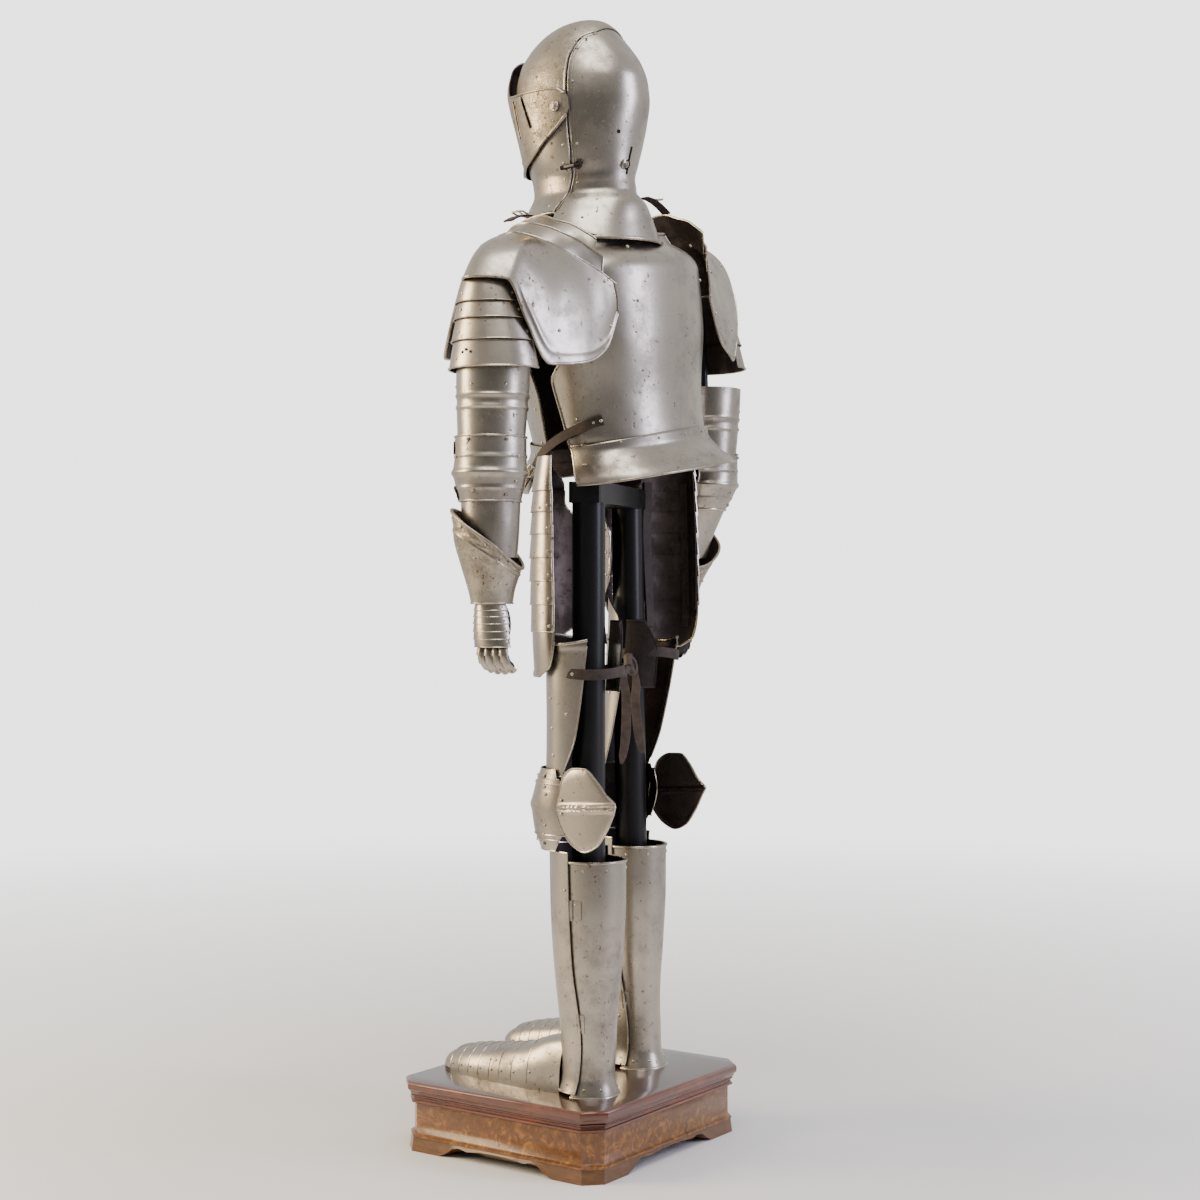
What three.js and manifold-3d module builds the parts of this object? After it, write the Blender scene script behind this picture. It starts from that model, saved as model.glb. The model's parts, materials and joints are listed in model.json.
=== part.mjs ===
// A full suit of plate armour on its display stand.
// Millimetres, +Z up. The figure faces -Y, its left side is +X, and the stand's feet rest at Z = 0.
// Each plate is a thin wall of steel: sections come from short tables, and every wall is worked
// out from its outer surface, moved in along the surface's own normals.

import * as THREE from 'three';
import { mergeVertices } from 'three/addons/utils/BufferGeometryUtils.js';
import Module from 'manifold-3d';

const wasm = await Module();
wasm.setup();

// ---------------------------------------------------------------- driving dimensions

const steel = 1.6;
const lapGap = 0.5;
const hide = 3;

const plinth = { width: 453, depth: 416, corner: 32, top: 117, board: 22, foot: 22, inset: 13 };
const floorGap = 0.3;
const deck = plinth.top + floorGap;

const waist = { x: -45, y: 85, z: 1150, lean: 8.6 };
const head = { x: 38, y: 46, z: 1729, lean: 3 };
const rightArm = { x: 8, z: 10 };
const rightShoulder = { x: 28, y: 2, z: 58 };

// ---------------------------------------------------------------- finishes

const finish = (color, roughness, metalness) =>
  new THREE.MeshStandardMaterial({ color, roughness, metalness });

const bright = finish(0xb6ad9b, 0.38, 1);
const leather = finish(0x4a3526, 0.7, 0);
const blackPaint = finish(0x17161a, 0.35, 0);
const walnut = finish(0x5b2d1a, 0.35, 0);
const burl = finish(0x8a5a2c, 0.4, 0);
const gloveHide = finish(0x1b1715, 0.8, 0);

// ---------------------------------------------------------------- tables and surfaces

const radians = THREE.MathUtils.degToRad;
const clamp = THREE.MathUtils.clamp;

// One column of a table at a station between its rows: smooth, and never past a row's own value.
function column(table, name, at, by = 'z') {
  const last = table.length - 1;
  const slope = (k) => (table[k + 1][name] - table[k][name]) / (table[k + 1][by] - table[k][by]);
  const tangent = (k) => {
    if (k === 0) return slope(0);
    if (k === last) return slope(last - 1);
    const before = slope(k - 1);
    const after = slope(k);
    return before * after <= 0 ? 0 : (2 * before * after) / (before + after);
  };
  let k = 0;
  while (k < last - 1 && at > table[k + 1][by]) k += 1;
  const span = table[k + 1][by] - table[k][by];
  const t = clamp((at - table[k][by]) / span, 0, 1);
  const rise = table[k + 1][name] - table[k][name];
  const ease = t * t * (3 - 2 * t);
  const pull = t * (1 - t) * ((1 - t) * tangent(k) - t * tangent(k + 1)) * span;
  return table[k][name] + rise * ease + pull;
}

const signedPower = (value, power) => Math.sign(value) * Math.abs(value) ** power;

// A surface of level sections. Angle 0 is the front, 90 the wearer's left and 180 the back.
// Columns: z, centre x and y, half width w, front f, back b, square (2 is an ellipse), keel.
function sections(table) {
  return (z, angle) => {
    const side = Math.sin(radians(angle));
    const ahead = Math.cos(radians(angle));
    const power = 2 / column(table, 'square', z);
    const reach = ahead > 0 ? column(table, 'f', z) : column(table, 'b', z);
    const ridge = column(table, 'keel', z) * Math.max(0, ahead) ** 12;
    return new THREE.Vector3(
      column(table, 'x', z) + column(table, 'w', z) * signedPower(side, power),
      column(table, 'y', z) - reach * signedPower(ahead, power) - ridge,
      z,
    );
  };
}

// ---------------------------------------------------------------- walls

// A closed wall from an open surface. Its inner side and its edges are worked out here.
function thicken(points, triangles, wall) {
  const normals = points.map(() => new THREE.Vector3());
  const edgeUse = new Set();
  for (const [a, b, c] of triangles) {
    const ab = points[b].clone().sub(points[a]);
    const ac = points[c].clone().sub(points[a]);
    const across = ab.cross(ac);
    for (const k of [a, b, c]) normals[k].add(across);
    for (const edge of [[a, b], [b, c], [c, a]]) edgeUse.add(edge.join());
  }
  const count = points.length;
  const inner = points.map((p, k) => p.clone().addScaledVector(normals[k].normalize(), -wall));
  const faces = [];
  for (const [a, b, c] of triangles) {
    faces.push([a, b, c], [c + count, b + count, a + count]);
    for (const [from, to] of [[a, b], [b, c], [c, a]]) {
      if (edgeUse.has(`${to},${from}`)) continue;
      faces.push([to, from, from + count], [to, from + count, to + count]);
    }
  }
  return toGeometry([...points, ...inner], faces);
}

function toGeometry(points, faces) {
  const geometry = new THREE.BufferGeometry();
  const flat = points.flatMap((p) => [p.x, p.y, p.z]);
  geometry.setAttribute('position', new THREE.Float32BufferAttribute(flat, 3));
  geometry.setIndex(faces.flat());
  return geometry;
}

// A grid of points becomes a wall. Points that meet, as round a tube or at a crown, are one point.
function shell(grid, wall = steel) {
  const points = [];
  const known = new Map();
  const index = (p) => {
    const key = [p.x, p.y, p.z].map((v) => Math.round(v * 1e3)).join();
    if (!known.has(key)) known.set(key, points.push(p) - 1);
    return known.get(key);
  };
  const ids = grid.map((row) => row.map(index));
  const triangles = [];
  for (let i = 0; i < grid.length - 1; i += 1) {
    for (let j = 0; j < grid[i].length - 1; j += 1) {
      const [a, b, c, d] = [ids[i][j], ids[i][j + 1], ids[i + 1][j + 1], ids[i + 1][j]];
      triangles.push([a, b, c], [a, c, d]);
    }
  }
  const whole = triangles.filter(([a, b, c]) => a !== b && b !== c && c !== a);
  return thicken(points, whole, wall);
}

// A plate cut from a surface. Its edge table has the columns z, from and to, and slant moves a
// point up or down by its angle. Lift is how far the plate stands off, at its low and high ends.
function plate(surface, edge, { rows = 4, cols = 8, wall = steel, lift = [0, 0], slant } = {}) {
  const low = edge[0].z;
  const high = edge.at(-1).z;
  const grid = [];
  for (let i = 0; i <= rows; i += 1) {
    const t = i / rows;
    const z = low + (high - low) * t;
    const from = column(edge, 'from', z);
    const to = column(edge, 'to', z);
    const off = lift[0] + (lift[1] - lift[0]) * t;
    const row = [];
    for (let j = 0; j <= cols; j += 1) {
      const angle = from + ((to - from) * j) / cols;
      const height = z + (slant ? slant(angle, t) : 0);
      row.push(standOff(surface, height, angle, off));
    }
    grid.push(row);
  }
  return shell(grid, wall);
}

function standOff(surface, z, angle, off) {
  const p = surface(z, angle);
  if (off === 0) return p;
  const across = surface(z, angle + 1).sub(surface(z, angle - 1));
  const up = surface(z + 1, angle).sub(surface(z - 1, angle));
  return p.addScaledVector(across.cross(up).normalize(), off);
}

// Lames that lap like roof tiles: each covers the one below it. The table has z (the low edge)
// and the plate's from and to, and top is where the highest lame ends.
function lames(surface, table, top, lap, options) {
  return table.map((lame, k) => {
    const high = k + 1 < table.length ? table[k + 1].z + lap : top;
    const edge = [{ ...lame }, { ...(table[k + 1] ?? lame), z: high }];
    return plate(surface, edge, { rows: 2, lift: [2 * (steel + lapGap), 0], ...options });
  });
}

// ---------------------------------------------------------------- joins and cuts

function toSolid(geometry) {
  const bare = geometry.clone();
  for (const name of Object.keys(bare.attributes)) {
    if (name !== 'position') bare.deleteAttribute(name);
  }
  const merged = mergeVertices(bare, 1e-4);
  return new wasm.Manifold(new wasm.Mesh({
    numProp: 3,
    vertProperties: new Float32Array(merged.attributes.position.array),
    triVerts: new Uint32Array(merged.index.array),
  }));
}

function fromSolid(solid) {
  const { vertProperties, triVerts } = solid.simplify(0.02).getMesh();
  const geometry = new THREE.BufferGeometry();
  geometry.setAttribute('position', new THREE.BufferAttribute(vertProperties, 3));
  geometry.setIndex(new THREE.BufferAttribute(triVerts, 1));
  return geometry;
}

const keep = (geometry, tool) => fromSolid(toSolid(geometry).intersect(toSolid(tool)));
const cut = (geometry, ...tools) =>
  fromSolid(tools.reduce((solid, tool) => solid.subtract(toSolid(tool)), toSolid(geometry)));
const join = (first, ...rest) =>
  fromSolid(rest.reduce((solid, next) => solid.add(toSolid(next)), toSolid(first)));

// An outline drawn from the side, with y to the right and z up, extruded along X.
function sideCutter(outline, near, far) {
  const shape = new THREE.Shape(outline.map(([y, z]) => new THREE.Vector2(y, z)));
  const block = new THREE.ExtrudeGeometry(shape, { depth: far - near, bevelEnabled: false });
  block.rotateY(Math.PI / 2);
  block.rotateX(Math.PI / 2);
  return block.translate(near, 0, 0);
}

// The same piece for the other side of the body.
function mirrored(geometry, shift = () => [0, 0, 0]) {
  const twin = geometry.index ? geometry.clone() : mergeVertices(geometry.clone());
  const place = twin.attributes.position;
  for (let k = 0; k < place.count; k += 1) {
    const [x, y, z] = [place.getX(k), place.getY(k), place.getZ(k)];
    const [dx, dy, dz] = shift(z, y, x);
    place.setXYZ(k, -x + dx, y + dy, z + dz);
  }
  const order = twin.index.array;
  for (let k = 0; k < order.length; k += 3) [order[k], order[k + 1]] = [order[k + 1], order[k]];
  return twin;
}

// A bar of any section, drawn along a line of points.
function bar(points, section) {
  const path = new THREE.CatmullRomCurve3(points.map((p) => new THREE.Vector3(...p)), false, 'centripetal');
  return (steps) => new THREE.ExtrudeGeometry(section, { steps, extrudePath: path, bevelEnabled: false });
}

function roundSection(radius, sides) {
  const corners = Array.from({ length: sides }, (_, k) => {
    const turn = (2 * Math.PI * k) / sides;
    return new THREE.Vector2(radius * Math.cos(turn), radius * Math.sin(turn));
  });
  return new THREE.Shape(corners);
}

// A flat strap along a line of points, with the way that its face looks at each of them.
function strap(points, facing, width, wall = hide) {
  const grid = [-0.5, 0.5].map((edge) => points.map((p, k) => {
    const here = new THREE.Vector3(...p);
    const ahead = new THREE.Vector3(...points[Math.min(k + 1, points.length - 1)]);
    ahead.sub(new THREE.Vector3(...points[Math.max(k - 1, 0)])).normalize();
    const out = new THREE.Vector3(...facing[Math.min(k, facing.length - 1)]).normalize();
    return here.addScaledVector(out.cross(ahead).normalize(), edge * width);
  }));
  return shell(grid, wall);
}

// ---------------------------------------------------------------- the assembly

const suit = new THREE.Group();

function add(name, geometry, material = bright, parent = suit) {
  const mesh = new THREE.Mesh(geometry, material);
  mesh.name = name;
  parent.add(mesh);
  return mesh;
}

function addPair(name, geometry, shift, material = bright, parent = suit) {
  add(`${name}_left`, geometry, material, parent);
  add(`${name}_right`, mirrored(geometry, shift), material, parent);
}

// ---------------------------------------------------------------- plinth

function cornered(width, depth, corner) {
  const [w, d] = [width / 2, depth / 2];
  const rim = [
    [-w + corner, -d], [w - corner, -d], [w, -d + corner], [w, d - corner],
    [w - corner, d], [-w + corner, d], [-w, d - corner], [-w, -d + corner],
  ];
  return new THREE.Shape(rim.map(([x, y]) => new THREE.Vector2(x, y)));
}

function slab(inset, low, high, corner = plinth.corner) {
  const shape = cornered(plinth.width - 2 * inset, plinth.depth - 2 * inset, corner);
  const depth = high - low;
  return new THREE.ExtrudeGeometry(shape, { depth, bevelEnabled: false }).translate(0, 0, low);
}

// Four bracket feet: the base's lowest slab, with an arch cut under each side.
function plinthBase() {
  const top = plinth.top - plinth.board - floorGap;
  const body = slab(plinth.inset, plinth.foot, top - 10, plinth.corner - 5);
  const cove = slab(plinth.inset - 6, top - 10.5, top, plinth.corner - 3);
  const footSlab = slab(plinth.inset - 3, 0, plinth.foot + 0.5, plinth.corner - 6);
  const gap = 0.62;
  const long = new THREE.BoxGeometry(plinth.width * gap, plinth.depth + 20, 2 * plinth.foot - 4);
  const deep = new THREE.BoxGeometry(plinth.width + 20, plinth.depth * gap, 2 * plinth.foot - 4);
  const arches = [long, deep].map((box) => box.translate(0, 0, 0));
  return join(cut(join(footSlab, body), ...arches), cove);
}

function plinthTop() {
  const low = plinth.top - plinth.board;
  const tread = slab(0, low + 6, plinth.top);
  return join(tread, slab(5, low, low + 6.5));
}

add('plinth_base', plinthBase(), burl);
add('plinth_top', plinthTop(), walnut);

// ---------------------------------------------------------------- legs

// How far the right leg stands from the left one's mirror image, by height.
const stride = [
  { z: 100, x: 10, y: -46 },
  { z: 300, x: 8, y: -60 },
  { z: 480, x: 6, y: -62 },
  { z: 590, x: 4, y: -56 },
  { z: 660, x: 4, y: -50 },
  { z: 850, x: 2, y: -36 },
  { z: 900, x: 2, y: -34 },
];
const rightLeg = (z) => [column(stride, 'x', z), column(stride, 'y', z), 0];

const shin = sections([
  { z: 117, x: 112, y: 112, w: 47, f: 44, b: 50, square: 2.1, keel: 0 },
  { z: 150, x: 112, y: 114, w: 39, f: 42, b: 41, square: 2.1, keel: 0 },
  { z: 210, x: 111, y: 116, w: 40, f: 46, b: 42, square: 2.1, keel: 2 },
  { z: 330, x: 111, y: 113, w: 50, f: 55, b: 54, square: 2.1, keel: 4 },
  { z: 430, x: 110, y: 112, w: 55, f: 61, b: 61, square: 2.1, keel: 4 },
  { z: 500, x: 110, y: 111, w: 55, f: 62, b: 62, square: 2.1, keel: 4 },
]);

const kneeRise = (angle, t) => 34 * t * Math.cos(radians(angle)) ** 2;

const greaveFront = plate(shin, [
  { z: 184, from: -102, to: 102 },
  { z: 330, from: -92, to: 92 },
  { z: 486, from: -89, to: 89 },
], { rows: 5, cols: 9, lift: [5, 3.2], slant: kneeRise });

const greaveBack = plate(shin, [
  { z: deck, from: 86, to: 274 },
  { z: 184, from: 98, to: 262 },
  { z: 330, from: 88, to: 272 },
  { z: 496, from: 85, to: 275 },
], { rows: 6, cols: 9 });

addPair('greave_front', greaveFront, rightLeg);
addPair('greave_back', greaveBack, rightLeg);

const knee = sections([
  { z: 508, x: 112, y: 86, w: 58, f: 52, b: 60, square: 2, keel: 4 },
  { z: 548, x: 112, y: 84, w: 63, f: 62, b: 60, square: 2, keel: 6 },
  { z: 585, x: 112, y: 83, w: 65, f: 66, b: 60, square: 2, keel: 8 },
  { z: 615, x: 112, y: 84, w: 63, f: 60, b: 60, square: 2, keel: 6 },
  { z: 650, x: 112, y: 88, w: 60, f: 54, b: 60, square: 2, keel: 4 },
]);

addPair('poleyn', plate(knee, [
  { z: 524, from: -70, to: 78 },
  { z: 548, from: -88, to: 84 },
  { z: 585, from: -96, to: 92 },
  { z: 620, from: -84, to: 84 },
  { z: 643, from: -72, to: 80 },
], { rows: 5, cols: 8, lift: [3, 3] }), rightLeg);

// The fan that guards the outside of the knee, with a pointed rear end and a raised rib.
function kneeFan() {
  const outline = [
    { t: 0, from: -12, to: 10 },
    { t: 0.12, from: -40, to: 50 },
    { t: 0.3, from: -62, to: 61 },
    { t: 0.5, from: -72, to: 60 },
    { t: 0.68, from: -65, to: 42 },
    { t: 0.85, from: -40, to: 17 },
    { t: 1, from: -2, to: 2 },
  ];
  const grid = [0, 0.12, 0.3, 0.5, 0.68, 0.85, 1].map((t) => {
    const from = column(outline, 'from', t, 't');
    const to = column(outline, 'to', t, 't');
    return [0, 0.25, 0.42, 0.5, 0.58, 0.75, 1].map((u) => {
      const rise = from + (to - from) * u;
      const rib = 6 * Math.max(0, 1 - Math.abs(u - 0.5) * 9);
      const dish = 8 * Math.sin(Math.PI * t);
      return new THREE.Vector3(180 + dish * 0.6 + rib, 96 + 116 * t, 586 + rise + 8 * t);
    });
  });
  return shell(grid);
}

addPair('knee_fan', kneeFan(), rightLeg);

const thigh = sections([
  { z: 620, x: 112, y: 90, w: 56, f: 50, b: 58, square: 2, keel: 0 },
  { z: 700, x: 113, y: 93, w: 58, f: 50, b: 62, square: 2, keel: 0 },
  { z: 800, x: 114, y: 97, w: 62, f: 53, b: 66, square: 2, keel: 0 },
  { z: 900, x: 114, y: 100, w: 66, f: 55, b: 70, square: 2, keel: 0 },
]);

addPair('cuisse', plate(thigh, [
  { z: 634, from: -78, to: 98 },
  { z: 700, from: -90, to: 118 },
  { z: 800, from: -96, to: 128 },
  { z: 862, from: -60, to: 132 },
], { rows: 4, cols: 8, slant: (a, t) => -14 * t * Math.sin(radians(a)) ** 2 }), rightLeg);

addPair('cuisse_inner', plate(thigh, [
  { z: 770, from: -152, to: -99 },
  { z: 830, from: -150, to: -100 },
  { z: 884, from: -128, to: -101 },
], { rows: 3, cols: 4 }), rightLeg);

// ---------------------------------------------------------------- feet

// Sections across the foot, from the toe back. Columns: y, centre x, half width w, height h.
const foot = [
  { y: -201, x: 78, w: 20, h: 14 },
  { y: -192, x: 79, w: 32, h: 24 },
  { y: -165, x: 83, w: 43, h: 36 },
  { y: -120, x: 90, w: 49, h: 46 },
  { y: -60, x: 98, w: 50, h: 55 },
  { y: 0, x: 105, w: 46, h: 66 },
  { y: 40, x: 109, w: 36, h: 79 },
  { y: 74, x: 111, w: 29, h: 88 },
];

function footPoint(y, angle, off) {
  const side = Math.sin(radians(angle));
  const up = Math.cos(radians(angle));
  return new THREE.Vector3(
    column(foot, 'x', y, 'y') + (column(foot, 'w', y, 'y') + off) * signedPower(side, 0.8),
    y,
    deck + (column(foot, 'h', y, 'y') + off) * signedPower(up, 0.8),
  );
}

// The arched lames over the foot, joined at their laps into one shoe.
function sabaton() {
  const joints = [-201, -192, -165, -120, -60, 0, 40, 55];
  const grid = joints.map((y) => {
    const row = [];
    for (let angle = -90; angle <= 90; angle += 22.5) row.push(footPoint(y, angle, 0));
    return row;
  });
  return shell(grid);
}

// The right foot turns out, and its heel is under the leg that stands further forward.
const rightFoot = (z, y) => [-10 + 0.12 * y, -44 - 0.13 * y, 0];

addPair('sabaton', sabaton(), rightFoot);

// ---------------------------------------------------------------- cuirass

const cuirass = new THREE.Group();
cuirass.position.set(waist.x, waist.y, waist.z);
cuirass.rotation.y = radians(waist.lean);
suit.add(cuirass);

const trunk = sections([
  { z: 30, x: 0, y: 0, w: 166, f: 150, b: 112, square: 2.1, keel: 3 },
  { z: 120, x: 0, y: -4, w: 172, f: 158, b: 116, square: 2.15, keel: 5 },
  { z: 230, x: 0, y: -6, w: 186, f: 152, b: 127, square: 2.2, keel: 6 },
  { z: 330, x: 0, y: -4, w: 182, f: 128, b: 122, square: 2.3, keel: 4 },
  { z: 396, x: 0, y: 0, w: 154, f: 94, b: 92, square: 2.3, keel: 0 },
  { z: 430, x: 0, y: 2, w: 128, f: 56, b: 54, square: 2.3, keel: 0 },
]);

const neckDip = (a, t) => -34 * Math.max(0, t - 0.6) / 0.4 * Math.abs(Math.cos(radians(a))) ** 6;

add('backplate', plate(trunk, [
  { z: 30, from: 91, to: 269 },
  { z: 100, from: 88, to: 272 },
  { z: 150, from: 86, to: 274 },
  { z: 190, from: 96, to: 264 },
  { z: 260, from: 124, to: 236 },
  { z: 350, from: 132, to: 228 },
  { z: 402, from: 146, to: 214 },
], { rows: 8, cols: 10, slant: neckDip }), bright, cuirass);

add('breastplate', plate(trunk, [
  { z: 30, from: -71, to: 71 },
  { z: 120, from: -72, to: 72 },
  { z: 190, from: -66, to: 66 },
  { z: 280, from: -50, to: 50 },
  { z: 360, from: -46, to: 46 },
  { z: 408, from: -50, to: 50 },
], { rows: 8, cols: 10, slant: neckDip }), bright, cuirass);

const skirt = sections([
  { z: -40, x: 0, y: 0, w: 206, f: 186, b: 186, square: 2.1, keel: 0 },
  { z: -8, x: 0, y: 0, w: 196, f: 176, b: 166, square: 2.1, keel: 0 },
  { z: 16, x: 0, y: 0, w: 180, f: 164, b: 136, square: 2.1, keel: 3 },
  { z: 40, x: 0, y: 0, w: 170, f: 154, b: 115, square: 2.1, keel: 3 },
  { z: 60, x: 0, y: 0, w: 169, f: 154, b: 114.5, square: 2.1, keel: 3 },
]);
const beltDip = (a) => -9 * Math.sin(radians(a)) ** 2;

add('waist_flange', plate(skirt, [
  { z: -8, from: 99, to: 263 },
  { z: 54, from: 92, to: 268 },
], { rows: 3, cols: 10, lift: [lapGap, steel + lapGap + 1], slant: beltDip }), bright, cuirass);

add('fauld', plate(skirt, [
  { z: -20, from: -66, to: 66 },
  { z: 54, from: -70, to: 70 },
], { rows: 3, cols: 8, lift: [lapGap, steel + lapGap + 1], slant: beltDip }), bright, cuirass);

// ---------------------------------------------------------------- tassets

const hip = sections([
  { z: 780, x: 108, y: 84, w: 74, f: 62, b: 50, square: 2, keel: 0 },
  { z: 880, x: 104, y: 82, w: 88, f: 66, b: 50, square: 2, keel: 0 },
  { z: 980, x: 100, y: 80, w: 92, f: 68, b: 50, square: 2, keel: 0 },
  { z: 1080, x: 98, y: 78, w: 92, f: 62, b: 50, square: 2, keel: 0 },
  { z: 1160, x: 96, y: 76, w: 84, f: 52, b: 50, square: 2, keel: 0 },
]);

const tasset = plate(hip, [
  { z: 796, from: 45, to: 72 },
  { z: 812, from: 18, to: 94 },
  { z: 850, from: 2, to: 105 },
  { z: 880, from: -12, to: 107 },
  { z: 910, from: -48, to: 108 },
  { z: 940, from: -74, to: 108 },
  { z: 990, from: -78, to: 107 },
  { z: 1030, from: -48, to: 107 },
  { z: 1060, from: -16, to: 106 },
  { z: 1084, from: 8, to: 106 },
  { z: 1112, from: 48, to: 103 },
  { z: 1152, from: 88, to: 99 },
], { rows: 16, cols: 9 });

// The right tasset's inner half passes in front of the post.
function rightTasset(z, y, x) {
  const inner = Math.min(1, Math.max(0, (120 - x) / 24));
  return [-40, 12 - 39 * inner, 42];
}

addPair('tasset', tasset, rightTasset);

// ---------------------------------------------------------------- arms

const arm = sections([
  { z: 1150, x: 317, y: 71, w: 54, f: 50, b: 51, square: 2, keel: 0 },
  { z: 1200, x: 317, y: 72, w: 57, f: 52, b: 54, square: 2, keel: 0 },
  { z: 1270, x: 316, y: 73, w: 60, f: 54, b: 58, square: 2, keel: 0 },
  { z: 1340, x: 314, y: 74, w: 60, f: 53, b: 60, square: 2, keel: 0 },
  { z: 1400, x: 312, y: 73, w: 57, f: 48, b: 52, square: 2, keel: 0 },
  { z: 1450, x: 304, y: 73, w: 46, f: 42, b: 44, square: 2, keel: 0 },
]);

// The right forearm swings forward below its elbow.
const swing = [{ z: 800, y: -52 }, { z: 1000, y: -36 }, { z: 1130, y: 4 }, { z: 1300, y: 6 }];
const armShift = (z) => [rightArm.x, column(swing, 'y', z), rightArm.z];
const shoulderShift = () => [rightShoulder.x, rightShoulder.y, rightShoulder.z];

addPair('rerebrace', plate(arm, [
  { z: 1160, from: 0, to: 360 },
  { z: 1290, from: 0, to: 360 },
], { rows: 2, cols: 14 }), armShift);

// The lames over the upper arm stand off it, most of all behind.
const sleeve = sections([
  { z: 1276, x: 316, y: 73, w: 69, f: 60, b: 80, square: 2, keel: 0 },
  { z: 1310, x: 315, y: 73, w: 66, f: 58, b: 74, square: 2, keel: 0 },
  { z: 1345, x: 314, y: 73, w: 63, f: 55, b: 66, square: 2, keel: 0 },
  { z: 1380, x: 313, y: 73, w: 60, f: 52, b: 58, square: 2, keel: 0 },
  { z: 1410, x: 311, y: 73, w: 56, f: 48, b: 52, square: 2, keel: 0 },
]);

const armLames = lames(sleeve, [
  { z: 1276, from: -40, to: 186 },
  { z: 1318, from: -45, to: 184 },
  { z: 1352, from: -48, to: 176 },
  { z: 1378, from: -50, to: 168 },
], 1404, 8, { cols: 8 });
armLames.forEach((lame, k) => addPair(`arm_lame_${4 - k}`, lame, shoulderShift));

// ---------------------------------------------------------------- elbows, forearms and hands

const elbow = sections([
  { z: 1068, x: 318, y: 70, w: 52, f: 46, b: 48, square: 2, keel: 0 },
  { z: 1095, x: 318, y: 70, w: 57, f: 54, b: 54, square: 2, keel: 2 },
  { z: 1118, x: 318, y: 70, w: 61, f: 56, b: 57, square: 2, keel: 4 },
  { z: 1142, x: 318, y: 71, w: 60, f: 56, b: 57, square: 2, keel: 2 },
  { z: 1172, x: 318, y: 71, w: 60, f: 56, b: 57, square: 2, keel: 0 },
]);

addPair('couter', plate(elbow, [
  { z: 1072, from: 10, to: 250 },
  { z: 1118, from: -40, to: 250 },
  { z: 1172, from: 10, to: 250 },
], { rows: 4, cols: 10 }), armShift);

const forearm = sections([
  { z: 905, x: 309, y: 66, w: 33, f: 24, b: 27, square: 2, keel: 0 },
  { z: 925, x: 310, y: 66, w: 35, f: 26, b: 29, square: 2, keel: 0 },
  { z: 980, x: 312, y: 67, w: 44, f: 36, b: 39, square: 2, keel: 0 },
  { z: 1040, x: 316, y: 69, w: 48, f: 43, b: 45, square: 2, keel: 0 },
  { z: 1090, x: 318, y: 70, w: 50, f: 45, b: 47, square: 2, keel: 0 },
]);

addPair('vambrace', plate(forearm, [
  { z: 985, from: 0, to: 360 },
  { z: 1086, from: 0, to: 360 },
], { rows: 2, cols: 12 }), armShift);

const cuff = sections([
  { z: 905, x: 309, y: 66, w: 36, f: 27, b: 30, square: 2, keel: 0 },
  { z: 930, x: 310, y: 66, w: 40, f: 32, b: 34, square: 2, keel: 0 },
  { z: 980, x: 313, y: 68, w: 55, f: 46, b: 53, square: 2, keel: 0 },
  { z: 1015, x: 315, y: 71, w: 65, f: 56, b: 66, square: 2, keel: 0 },
  { z: 1070, x: 317, y: 72, w: 68, f: 60, b: 66, square: 2, keel: 0 },
]);

addPair('gauntlet_cuff', plate(cuff, [
  { z: 914, from: 0, to: 360 },
  { z: 1014, from: 0, to: 360 },
], { rows: 3, cols: 14, slant: (a, t) => 46 * t * Math.cos(radians(a - 25)) }), armShift);

const backOfHand = sections([
  { z: 828, x: 296, y: 70, w: 30, f: 30, b: 30, square: 2, keel: 0 },
  { z: 850, x: 302, y: 68, w: 31, f: 34, b: 34, square: 2, keel: 0 },
  { z: 880, x: 306, y: 67, w: 31, f: 31, b: 33, square: 2, keel: 0 },
  { z: 925, x: 308, y: 66, w: 31, f: 23, b: 26, square: 2, keel: 0 },
]);

addPair('gauntlet_hand', plate(backOfHand, [
  { z: 846, from: -10, to: 170 },
  { z: 924, from: -20, to: 180 },
], { rows: 3, cols: 6 }), armShift);

// Four scaled fingers and a thumb in a leather glove, as one closed hand shape.
function glove() {
  const palm = new THREE.SphereGeometry(1, 8, 5).scale(20, 26, 42).translate(300, 67, 880);
  const fingers = [-22, -8, 7, 21].map((across, k) => bar([
    [304, 68 + across * 0.9, 862],
    [308, 68 + across, 838],
    [300, 68 + across, 818 + Math.abs(k - 1.5) * 2],
    [283, 68 + across * 0.95, 809 + Math.abs(k - 1.5) * 2],
  ], roundSection(7, 5))(3));
  const thumb = bar([[288, 46, 882], [277, 38, 862], [272, 38, 838]], roundSection(8, 5))(2);
  return join(palm, ...fingers, thumb);
}

addPair('glove', glove(), armShift, gloveHide);

// ---------------------------------------------------------------- shoulders

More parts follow.
